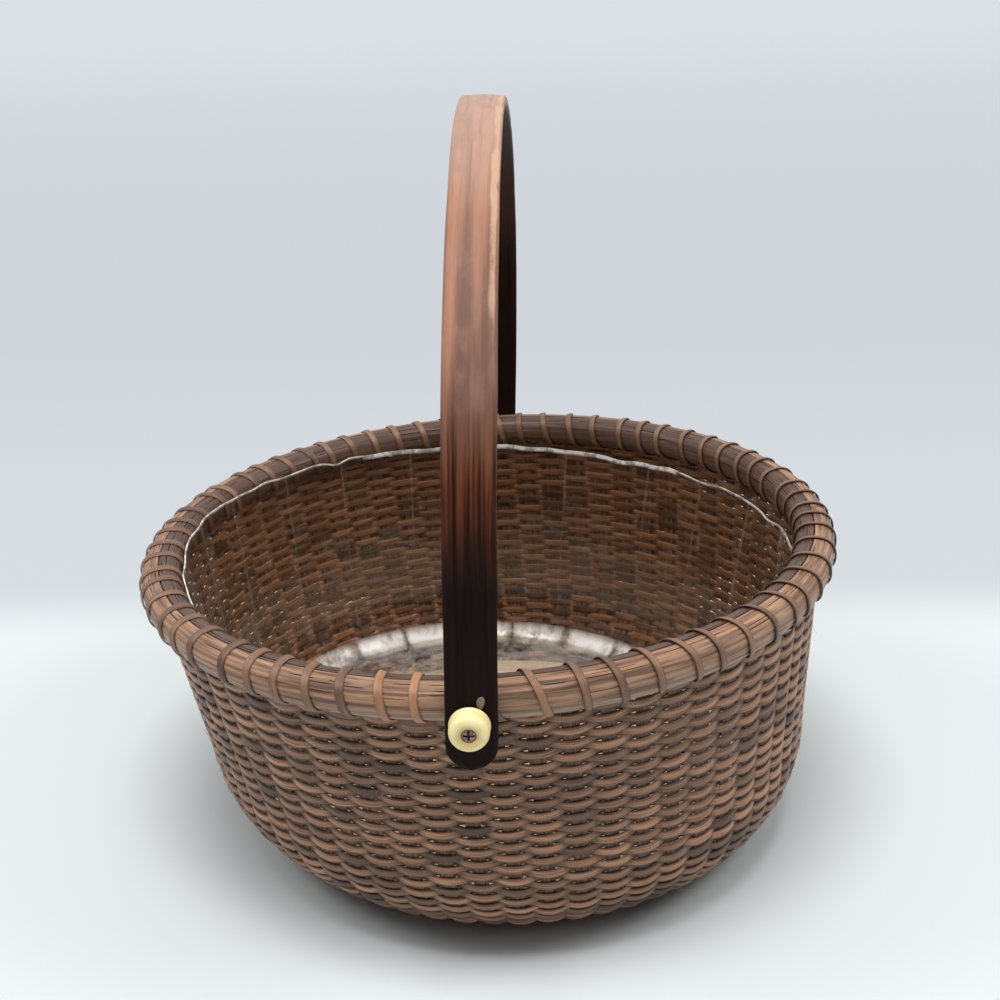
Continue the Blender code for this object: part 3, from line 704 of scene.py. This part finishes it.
def strap_section():
    """Across and out shares round the strap: flat inside, crowned outside and eased at its edges."""
    inside = [(across, -1.0) for across in (-0.93, -0.5, 0.0, 0.5, 0.93)]
    right = [(0.98, -0.86), (1.0, -0.55), (1.0, 0.0), (1.0, 0.45), (0.985, 0.68)]
    left = [(-across, out) for across, out in right[::-1]]
    steps = (0.95, 0.87, 0.72, 0.5, 0.25, 0.0, -0.25, -0.5, -0.72, -0.87, -0.95)
    top = [(across, 1.0 - STRAP_CROWN / STRAP_THICKNESS * 2 * across ** 2) for across in steps]
    return np.array(inside + right + top + left)


chance = np.random.default_rng(5)
stations = strap_stations()
section = strap_section()
y, up, width = stations[:, [0, 1, 4]].T
run = lengths_along(stations[:, :2])
waver = 1 + 0.006 * np.sin(run * 46 + 1) + 0.005 * np.sin(run * 101)
across = section[None, :, 0] * (STRAP_WIDTH / 2 * width * waver)[:, None]
through = np.broadcast_to(section[None, :, 1] * STRAP_THICKNESS / 2, across.shape).copy()
right_edge = np.clip((section[:, 0] - 0.8) / 0.15, 0, 1) * np.clip(section[:, 1] + 0.4, 0, 1)
chips = np.zeros(len(run))
for middle in chance.uniform(run[0] + 0.07, run[-1] - 0.07, 26):
    chip = np.clip(1 - np.abs(run - middle) / chance.uniform(0.002, 0.009), 0, 1)
    chips = np.maximum(chips, chip * chance.uniform(0.2, 0.8))
nick = np.clip(1 - np.abs(up - NICK_RISE) / 0.0012, 0, 1) * (y < 0)
eaten = CHIP_DEPTH * chips + NICK_DEPTH * nick
across -= eaten[:, None] * right_edge[None, :]
drift = np.where(y < 0, np.interp(up, STRAP_RISES, FRONT_DRIFTS), np.interp(up, STRAP_RISES, BACK_DRIFTS))
across += drift[:, None]
through -= 0.6 * eaten[:, None] * right_edge[None, :]
out = stations[:, None, 2:4]
strip = np.concatenate([across[..., None], stations[:, None, :2] + through[..., None] * out], -1)
lean = np.array(Matrix.Rotation(BAIL_LEAN, 3, "Y"))
points, faces = sleeves([strip])
points = points @ lean.T + (0, 0, PIVOT_HEIGHT)
around = len(section)
girth = lengths_along(section * (STRAP_WIDTH / 2, STRAP_THICKNESS / 2))
strand = np.stack(np.broadcast_arrays(run[:, None], girth[None, :], 0.0), -1).reshape(-1, 3)
inner_face_shade = np.clip((-section[:, 1] - 0.3) / 0.5, 0, 1)
worn = np.clip(1.2 - np.abs(section[:, 0] - 0.82) / 0.2, 0, 1) * (section[:, 1] > 0)
worn += 0.25 * (section[:, 0] > 0.97)
marks = {
    "strand": strand,
    "height": np.repeat(up, around),
    "face": np.tile(inner_face_shade, len(run)),
    "worn": np.tile(worn, len(run)),
}
bail = make_piece("bail_strap", points, faces, bail_wood, "bail", marks, 45)
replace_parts(bail, "bail_handle")


def drill(piece, side):
    """Bores the strap's foot through for its screw."""
    turn = turns_round(32)
    ring = np.stack([BORE_RADIUS * np.cos(turn), 0 * turn, PIVOT_HEIGHT + BORE_RADIUS * np.sin(turn)], -1)
    ends = [ring + (0, side * (STRAP_MIDDLE + reach), 0) for reach in (-DRILL_REACH, DRILL_REACH)]
    points, faces = sleeves([np.array(ends)])
    mesh = bpy.data.meshes.new("drill")
    mesh.from_pydata(points.tolist(), [], faces)
    cutter = put_in("drill", mesh)
    boring = piece.modifiers.new("bore", "BOOLEAN")
    boring.operation = "DIFFERENCE"
    boring.solver = "EXACT"
    boring.object = cutter
    bpy.context.view_layer.update()
    bored = bpy.data.meshes.new_from_object(piece.evaluated_get(bpy.context.evaluated_depsgraph_get()))
    piece.modifiers.clear()
    piece.data = bored
    bpy.data.objects.remove(cutter, do_unlink=True)


drill(bail, -1)
drill(bail, 1)


# Screws. Round-headed steel screws with a cross recess, gone dull and brown, that carry the bail's feet.
# Each runs through its knob and the strap into the rim, and its head sits level with the knob's face.

KNOB_SEAT = 0.1661
SCREW_END = 0.1465
SHANK_RADIUS = 0.0014
HEAD_RADIUS = 0.0027
HEAD_SEAT = 0.0061
HEAD_HEIGHT = 0.0015
RECESS_DEPTH = 0.0009
ARM_HALF_WIDTH = 0.00042
ARM_LENGTH = 0.0021
HEAD_SIDES = 64

screw_steel, maker = new_finish("dull_screw_steel")
place = maker.node("TexCoord", output="Object")
recess = mark_of(maker, "recess")
rust = grain(place, 900.0, 4.0, 0.65)
patch = grain(place, 300.0, 3.0)
steel = stained(rise(rust, 0.38, 0.68), dye(166, 142, 140), dye(116, 90, 82))
steel = stained(rise(recess, 0.2, 0.7), steel, dye(34, 20, 22))
lay_on(maker, steel, 0.4 + 0.3 * rise(patch, 0.35, 0.65), rust, 0.0001, {"Metallic": 0.5})


def quads_open(rows, around):
    """The faces of a closed sleeve whose rows stay open: none from a row's last point to its first."""
    return [face for face in quads_round(rows, around, True) if face[0] % around < around - 1]


for name, side in (("front_screw", -1), ("back_screw", 1)):
    turn = turns_round(HEAD_SIDES)[:, None]
    dome_reach = HEAD_RADIUS * np.linspace(0.96, 0.04, 24)
    reach = np.concatenate([[0.0, SHANK_RADIUS, SHANK_RADIUS, HEAD_RADIUS, HEAD_RADIUS], dome_reach])
    seat = KNOB_SEAT + HEAD_SEAT
    dome = seat + HEAD_HEIGHT * (0.55 + 0.45 * np.sqrt(1 - (dome_reach / HEAD_RADIUS) ** 2))
    out = np.concatenate([[SCREW_END, SCREW_END + 0.0025, seat, seat, seat + HEAD_HEIGHT * 0.5], dome])
    reach, out, turn = np.broadcast_arrays(reach[None, :], out[None, :], turn)
    x = reach * np.cos(turn)
    z = reach * np.sin(turn)
    arm = np.minimum(np.abs(x), np.abs(z))
    sunk = np.clip((ARM_HALF_WIDTH - arm) / 0.00014, 0, 1) * np.clip((ARM_LENGTH - reach) / 0.0003, 0, 1)
    sunk = sunk * (out > seat + HEAD_HEIGHT * 0.5)
    points = np.stack([x, side * (out - RECESS_DEPTH * sunk), PIVOT_HEIGHT + z], -1)[:, 1:].reshape(-1, 3)
    columns = reach.shape[1] - 1
    faces = quads_open(HEAD_SIDES, columns)
    faces.append([row * columns for row in range(HEAD_SIDES)])
    faces.append([row * columns + columns - 1 for row in range(HEAD_SIDES)][::-1])
    faces = turned_out(points - points.mean(0), faces)
    marks = {"recess": sunk[:, 1:].ravel()}
    screw = make_piece(name + "_steel", points, faces, screw_steel, "basket", marks, 35)
    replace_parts(screw, name)


# Knobs. Short barrels of ivory-coloured plastic, turned, with a faintly dished face and a hollow for the
# screw's head. They hold the bail on its screws, and round the screw they are painted darker and more
# orange, partly for a little dirt and partly as painted shade in the dish and hollow.

KNOB_RADIUS = 0.0076
KNOB_FOOT_RADIUS = 0.0078
KNOB_HEIGHT = 0.008
KNOB_FLOOR = 0.0060
KNOB_HOLLOW_RADIUS = 0.00285
KNOB_DISH_DEPTH = 0.0006
KNOB_SHOULDER = 0.0034
KNOB_FOOT_EDGE = 0.0004
KNOB_BARREL = 0.0042
KNOB_SIDES = 64

knob_ivory, maker = new_finish("ivory_knob")
from_screw = mark_of(maker, "from_screw")
place = maker.node("TexCoord", output="Object")
cloud = grain(place, 240.0, 3.0)
speck = grain(place, 1500.0, 2.0)
ivory = stained(rise(cloud, 0.3, 0.7), dye(253, 230, 158), dye(255, 244, 190))
# Darker and more orange round the screw: a little dirt and painted shade in the dish and hollow.
ivory = stained(rise(from_screw, 0.7, 0.38) * 0.7, ivory, dye(222, 176, 96))
ivory = stained(rise(speck, 0.66, 0.74) * 0.35, ivory, dye(176, 140, 84))
ivory_glow = {"Subsurface Weight": 0.12, "Subsurface Radius": (0.004, 0.003, 0.0015), "Subsurface Scale": 0.5}
lay_on(maker, ivory, 0.26 + 0.2 * cloud, speck, 0.00004, ivory_glow)


def knob_outline():
    """Radii and heights from the bore at its foot up the barrel, over the shoulder and into the hollow."""
    outline = [(BORE_RADIUS, 0.0), (KNOB_FOOT_RADIUS - 0.0005, 0.0), (KNOB_FOOT_RADIUS, KNOB_FOOT_EDGE)]
    for share in np.linspace(0.15, 1, 6):
        radius = KNOB_FOOT_RADIUS + (KNOB_RADIUS - KNOB_FOOT_RADIUS) * math.sin(share * math.pi / 2)
        outline.append((radius, KNOB_FOOT_EDGE + share * KNOB_BARREL))
    face_radius = KNOB_RADIUS - KNOB_SHOULDER
    for turn in np.linspace(0, math.pi / 2, 10)[1:]:
        radius = face_radius + KNOB_SHOULDER * math.cos(turn)
        outline.append((radius, KNOB_HEIGHT - KNOB_SHOULDER * (1 - math.sin(turn))))
    for share in np.linspace(0, 1, 8)[1:]:
        radius = face_radius - (face_radius - KNOB_HOLLOW_RADIUS) * share
        outline.append((radius, KNOB_HEIGHT - KNOB_DISH_DEPTH * share ** 1.6))
    outline += [(KNOB_HOLLOW_RADIUS, KNOB_FLOOR), (BORE_RADIUS, KNOB_FLOOR)]
    return np.array(outline)


outline = knob_outline()
for name, side in (("front_knob", -1), ("back_knob", 1)):
    turn = turns_round(KNOB_SIDES)[:, None]
    x = outline[:, 0] * np.cos(turn)
    z = PIVOT_HEIGHT + outline[:, 0] * np.sin(turn)
    y = side * (KNOB_SEAT + outline[:, 1])
    points, faces = sleeves([np.stack(np.broadcast_arrays(x, y, z), -1)], True)
    marks = {"from_screw": np.tile(outline[:, 0] / KNOB_RADIUS, KNOB_SIDES)}
    knob = make_piece(name + "_ivory", points, faces, knob_ivory, "basket", marks, 50)
    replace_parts(knob, name)


# Glue smear. A small grey-brown drop of old glue, set hard on the strap just above the front knob.
# A low dome of mesh that sinks a little into the strap and swings with it.

SMEAR_MIDDLE = (0.0042, 0.0090)
SMEAR_HALF = (0.0014, 0.0029)

glue, maker = new_finish("old_glue")
place = maker.node("TexCoord", output="Object")
cloud = grain(place, 700.0, 3.0)
lay_on(maker, stained(cloud, dye(104, 92, 74), dye(152, 140, 118)), 0.3 + 0.25 * cloud, cloud, 0.0001)
turn = turns_round(24)
rings = []
for share in (1.0, 0.92, 0.75, 0.5, 0.2):
    wobble = 1 + 0.12 * np.sin(turn * 2 + 0.6) + 0.07 * np.sin(turn * 3)
    swell = 0.0005 * math.sqrt(1 - share ** 2) if share < 1 else -0.0002
    x = SMEAR_MIDDLE[0] + SMEAR_HALF[0] * share * wobble * np.cos(turn)
    z = PIVOT_HEIGHT + SMEAR_MIDDLE[1] + SMEAR_HALF[1] * share * wobble * np.sin(turn)
    rings.append(np.stack([x, np.full(24, -(STRAP_MIDDLE + STRAP_THICKNESS / 2 - 0.0001 + swell)), z], -1))
points, faces = sleeves([np.array(rings)])
make_piece("glue_smear", points, faces, glue, "bail")


# Liner. A thin clear insert of vacuum-formed plastic, dropped into the basket: a raised flat floor, a ribbed
# channel round it and a high wall, cut off unevenly below the rim. It is creased and has yellowed a little.

LINER_OFFSET = -0.0024
LINER_TILT = 0.035
LINER_CHANNEL_RADIUS = 0.110
LINER_CHANNEL_WIDTH = 0.006
LINER_CHANNEL_DEPTH = 0.0095
LINER_BELLY_RADIUS = 0.131
LINER_BELLY_HEIGHT = 0.030
LINER_TOP_RADIUS = 0.1385
LINER_FLOOR = 0.02665
LINER_EDGE_HEIGHT = 0.1305
LINER_SHEET = 0.0006
LINER_SIDES = 252
LINER_RIBS = 24
FIRST_RIB = math.radians(85.7)
RIB_HEIGHT = 0.0045
REFLECTION_BAND_RADIUS = 0.1192
REFLECTION_BAND_HALF_WIDTH = 0.0042
CREASE_HALF_WIDTH = 0.0018
RIGHT_FLARE = 0.0032
LEFT_FLARE = 0.0040
CREASE_DEGREES = (
    -171, -152, -131, -107, -84, -60, -38, -15, 5, 23, 39, 53.5, 74, 111, 128, 143, 160, 174)
EDGE_MILLIMETRES = {
    -178: 0, -168: -2.5, -155: -4, -131: -3, -107: 0, -92: -0.4, -70: 0.8, -46: -0.5, -24: 1.5, -9: 2.5,
    5: 2.5, 16: 0.3, 22: 1.2, 28: 1.4, 35: 0.5, 41: -1.2, 48: 1.2, 53: -1.0, 61: -1.8, 68: -0.4, 83: -0.7,
    91: -0.2, 97: -0.9, 104: -1.2, 116: -0.4, 126: -0.4, 129: -2.4, 132: -0.5, 140: -0.7, 150: 0, 160: 0,
    168: 1.5,
}

chance = np.random.default_rng(19)
clear_plastic, maker = new_finish("clear_liner_plastic")
place = maker.node("TexCoord", output="Object")
cut_edge = mark_of(maker, "cut_edge")
crease = mark_of(maker, "crease")
reflection_band_and_floor_white = mark_of(maker, "reflection_band_and_floor_white")
patchiness = grain(place, 26.0, 4.0)
scuff = grain(drawn_out(place, 1, 1, 0.25), 150.0, 5.0, 0.65)
grazing = maker.node("LayerWeight", None, {"Blend": 0.5}, output="Facing")
gloss = 0.035 + 0.75 * grazing ** 5
edge_white = cut_edge * (0.25 + 0.7 * rise(grain(place, 170.0, 3.0), 0.4, 0.58))
white = edge_white + crease * 0.1 + rise(scuff, 0.54, 0.72) * 0.02
# Painted reflection: a patchy white band round the channel, standing in for the overhead light mirrored
# there; the same mark gives the flat floor a faint whitening.
white = white + reflection_band_and_floor_white * (0.12 + 0.75 * rise(patchiness + 0.9 * scuff, 0.72, 1.12))
shown = maker.node("Math", {"operation": "MINIMUM"}, {0: white + gloss, 1: 0.94})
film = maker.node("BsdfTransparent", None, {"Color": (0.975, 0.957, 0.925)})
sheet_links = {
    "Base Color": stained(rise(white, 0.0, 0.05), (0.9, 0.9, 0.9), dye(250, 247, 242)),
    "Metallic": rise(white, 0.03, 0.0),
    "Roughness": 0.12 + 0.1 * scuff,
    "Normal": maker.node("Bump", None, {"Height": grain(place, 45.0, 3.0), "Distance": 0.0012}),
}
sheet = maker.node("BsdfPrincipled", None, sheet_links)
clear = maker.node("MixShader", None, {0: shown, 1: film, 2: sheet})
maker.node("OutputMaterial", None, {"Surface": clear})

turn = np.linspace(-math.pi, math.pi, LINER_SIDES, endpoint=False)
crease_middles = np.radians(CREASE_DEGREES)
crease_sides = [crease_middles + away for away in (-CREASE_HALF_WIDTH, 0.0, CREASE_HALF_WIDTH)]
near_crease = np.min(np.abs(turn[:, None] - crease_middles[None, :]), axis=1) < 2.5 * CREASE_HALF_WIDTH
turn = np.sort(np.concatenate([turn[~near_crease], *crease_sides]))
liner_rows = len(turn)
crease_at = np.isin(turn, crease_middles) * 1.0
ribs = np.maximum(0, np.cos((turn - FIRST_RIB) * LINER_RIBS)) ** 14
edge_degrees, edge_lifts = zip(*EDGE_MILLIMETRES.items())
edge_lift = np.interp(np.degrees(turn), edge_degrees, edge_lifts, period=360) / 1000
wave = 0.0
for count in (9, 14, 23, 31, 47):
    wave = wave + chance.uniform(0.2, 1) * np.sin(turn * count + chance.uniform(0, 6))
profile = [(0.0, 0.0, 0), (0.03, 0.0, 0), (0.06, 0.0, 0), (0.085, 0.0, 0), (0.098, 0.0, 0)]
for angle in np.linspace(0, math.pi / 2, 7):
    reach = LINER_CHANNEL_RADIUS - LINER_CHANNEL_WIDTH * math.cos(angle)
    profile.append((reach, -LINER_CHANNEL_DEPTH * math.sin(angle), 1))
for angle in np.linspace(0, math.pi / 2, 12)[1:]:
    reach = LINER_CHANNEL_RADIUS + (LINER_BELLY_RADIUS - LINER_CHANNEL_RADIUS) * math.sin(angle)
    drop = (LINER_BELLY_HEIGHT + LINER_CHANNEL_DEPTH) * math.cos(angle)
    profile.append((reach, LINER_BELLY_HEIGHT - drop, 2))
for share in (0.08, 0.16, 0.25, 0.35, 0.45, 0.55, 0.65, 0.74, 0.82, 0.88, 0.93, 0.965, 0.985, 1.0):
    reach = LINER_BELLY_RADIUS + (LINER_TOP_RADIUS - LINER_BELLY_RADIUS) * share
    climb = (LINER_EDGE_HEIGHT - LINER_FLOOR - LINER_BELLY_HEIGHT) * share
    profile.append((reach, LINER_BELLY_HEIGHT + climb, 2 + share))
profile = np.array(profile)
radius = np.broadcast_to(profile[:, 0], (liner_rows, len(profile))).copy()
level = np.broadcast_to(profile[:, 1], radius.shape).copy()
upper = np.clip(profile[:, 2] - 2, 0, 1)
on_wall_share = (profile[:, 2] >= 2) * np.clip(profile[:, 1] / 0.02, 0, 1)
radius -= 0.0003 * crease_at[:, None] * on_wall_share
radius += 0.00025 * wave[:, None] * upper ** 1.5
flare = RIGHT_FLARE * np.clip(np.cos(turn), 0, 1) ** 2 + LEFT_FLARE * np.clip(-np.cos(turn), 0, 1) ** 2
radius += flare[:, None] * upper
past_channel = np.clip(1 - (profile[:, 0] - LINER_CHANNEL_RADIUS) / 0.012, 0, 1)
in_channel = (profile[:, 2] == 1) + past_channel * (profile[:, 2] == 2)
level += RIB_HEIGHT * ribs[:, None] * in_channel * np.clip(-profile[:, 1] / LINER_CHANNEL_DEPTH, 0, 1)
level += (edge_lift + 0.00025 * wave)[:, None] * upper ** 3
level[:, :6] += 0.0003 * np.sin(radius[:, :6] * 160 + turn[:, None] * 3)
skins = []
for lift in (0.0, LINER_SHEET):
    ahead = np.stack([np.gradient(radius, axis=1), np.gradient(level, axis=1)], -1)
    ahead /= np.maximum(np.linalg.norm(ahead, axis=-1, keepdims=True), 1e-9)
    skins.append((radius - ahead[..., 1] * lift * (profile[:, 0] > 0), level + ahead[..., 0] * lift))
rings = np.concatenate([np.stack(skins[0], -1), np.stack(skins[1], -1)[:, ::-1]], axis=1)[:, 1:-1]
flat_points = round_basket(turn[:, None], rings[..., 0], rings[..., 1])
columns = flat_points.shape[1]
points = np.concatenate([flat_points.reshape(-1, 3), [[0, 0, 0], [0, 0, LINER_SHEET]]])
faces = quads_open(liner_rows, columns)
for row in range(liner_rows):
    here, there = row * columns, (row + 1) % liner_rows * columns
    faces.append([here, there, len(points) - 2])
    faces.append([there + columns - 1, here + columns - 1, len(points) - 1])
tilt = np.array(Matrix.Rotation(LINER_TILT, 3, "Y"))
faces = turned_out(points, faces)
points = points @ tilt.T + np.array([LINER_OFFSET, 0, LINER_FLOOR])
edge_row = np.zeros(columns)
edge_row[len(profile) - 2:len(profile)] = 1
edge_marks = np.tile(edge_row, (liner_rows, 1))
edge_marks[:, [len(profile) - 3, len(profile)]] = (np.abs(np.degrees(turn) - 84) < 38)[:, None]
crease_marks = crease_at[:, None] * np.concatenate([on_wall_share, on_wall_share[::-1]])[None, 1:-1]
# The band of painted reflection round the channel, broken where the ribs cross it, and a faint whitening of
# the flat floor.
reflection_band_share = np.clip(1 - np.abs(profile[:, 0] - REFLECTION_BAND_RADIUS) / REFLECTION_BAND_HALF_WIDTH, 0, 1) ** 0.5
reflection_band_share *= profile[:, 2] == 2
flat_floor = 0.05 * (profile[:, 2] == 0)
reflection_band = np.concatenate([reflection_band_share, reflection_band_share[::-1]])[1:-1] * (1 - np.clip(1.6 * ribs, 0, 1))[:, None]
whitened = reflection_band + np.concatenate([flat_floor, flat_floor[::-1]])[1:-1]
marks = {"cut_edge": edge_marks.ravel(), "crease": crease_marks.ravel(), "reflection_band_and_floor_white": whitened.ravel()}
marks = {name: np.concatenate([values, [0, 0]]) for name, values in marks.items()}
liner = make_piece("clear_liner", points, faces, clear_plastic, "liner", marks, 60)
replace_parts(liner, "plastic_liner")


# Floor, light and camera. A pale floor that fades to the photograph's blue-grey backdrop, a soft light
# overhead with two weaker ones at the sides, and the camera where the photograph was taken from.

LENS = 50.0
LAMP_TINT = (1.0, 0.99, 0.975)
CAMERA_PITCH, CAMERA_TURN, CAMERA_ROLL = 0.3858, 0.0412, -0.0297
RIM_REACH = 0.160
CAMERA_SIDE, CAMERA_UP, CAMERA_BACK = 0.0147 * RIM_REACH, 0.8853 * RIM_REACH, 4.4126 * RIM_REACH

floor_paper, maker = new_finish("pale_paper")
place = maker.node("TexCoord", output="Object")
y_place = maker.node("SeparateXYZ", None, {0: place}, output=1)
backdrop = stained(rise(y_place, 0.22, 0.95), dye(214, 220, 224), dye(206, 211, 217))
backdrop = stained(rise(y_place, 1.1, 6.0), backdrop, dye(215, 221, 225))
away = rise(y_place, 0.15, 0.24)
paper = stained(away, dye(226, 233, 235), (0.0, 0.0, 0.0))
glow = stained(away, (0.0, 0.0, 0.0), backdrop)
lay_on(maker, paper, 0.9, plain={"Emission Color": glow, "Emission Strength": 1.0, "Specular IOR Level": 0.1})
bpy.ops.mesh.primitive_plane_add(size=24.0)
floor = bpy.context.object
floor.name = "floor"
floor.data.materials.append(floor_paper)

world = bpy.data.worlds.new("studio")
bpy.context.scene.world = world
world.use_nodes = True
world.node_tree.nodes.clear()
maker = Shade(world.node_tree)
direction = maker.node("TexCoord", output="Generated")
ahead = maker.node("SeparateXYZ", None, {0: direction}, output=1)
above = maker.node("SeparateXYZ", None, {0: direction}, output=2)
rays = maker.node("LightPath").socket.node.outputs
looked_at = Shade(world.node_tree, rays["Is Camera Ray"])
glossy = Shade(world.node_tree, rays["Is Glossy Ray"])
passed_on = Shade(world.node_tree, rays["Is Transmission Ray"])
mirrored = maker.node("Math", {"operation": "MINIMUM"}, {0: glossy + passed_on, 1: 1.0})
backdrop = dye(221, 227, 231)
room = stained(rise(ahead, -0.6, 0.25), dye(84, 86, 89), backdrop)
dome = stained(rise(above, 0.35, 1.0), (0.015, 0.015, 0.015), (0.66, 0.66, 0.67))
sky_colour = stained(looked_at, stained(mirrored, dome, room), backdrop)
sky = maker.node("Background", None, {"Color": sky_colour, "Strength": 1.0})
maker.node("OutputWorld", None, {"Surface": sky})


def hang_lamp(name, place, aim, size, power):
    """A soft rectangular lamp that looks at a point."""
    lamp = bpy.data.lights.new(name, "AREA")
    lamp.shape = "RECTANGLE"
    lamp.size, lamp.size_y = size
    lamp.energy = power
    lamp.color = LAMP_TINT
    held = put_in(name, lamp)
    held.location = place
    held.rotation_euler = (Vector(aim) - Vector(place)).to_track_quat("-Z", "Y").to_euler()


hang_lamp("overhead", (-0.06, -0.42, 1.94), (0, 0, 0), (0.9, 0.5), 22.0)
hang_lamp("left", (-1.15, -0.16, 1.34), (0, 0, 0.05), (0.7, 0.6), 7.0)
hang_lamp("right", (1.15, -0.16, 1.34), (0, 0, 0.05), (0.7, 0.6), 8.2)

level_back = Vector((math.sin(CAMERA_TURN), -math.cos(CAMERA_TURN), 0.0))
back = level_back * math.cos(CAMERA_PITCH) + Vector((0, 0, math.sin(CAMERA_PITCH)))
right = Vector((math.cos(CAMERA_TURN), math.sin(CAMERA_TURN), 0.0))
up = back.cross(right)
rolled_right = math.cos(CAMERA_ROLL) * right + math.sin(CAMERA_ROLL) * up
rolled_up = -math.sin(CAMERA_ROLL) * right + math.cos(CAMERA_ROLL) * up
stand = CAMERA_SIDE * rolled_right + CAMERA_UP * rolled_up + CAMERA_BACK * back
camera_data = bpy.data.cameras.new("camera")
camera_data.lens = LENS
camera_data.sensor_width = 36.0
camera = put_in("camera", camera_data)
turned = Matrix((rolled_right, rolled_up, back)).transposed().to_4x4()
camera.matrix_world = Matrix.Translation(stand) @ turned
bpy.context.scene.camera = camera
bpy.context.scene.view_settings.view_transform = "Standard"
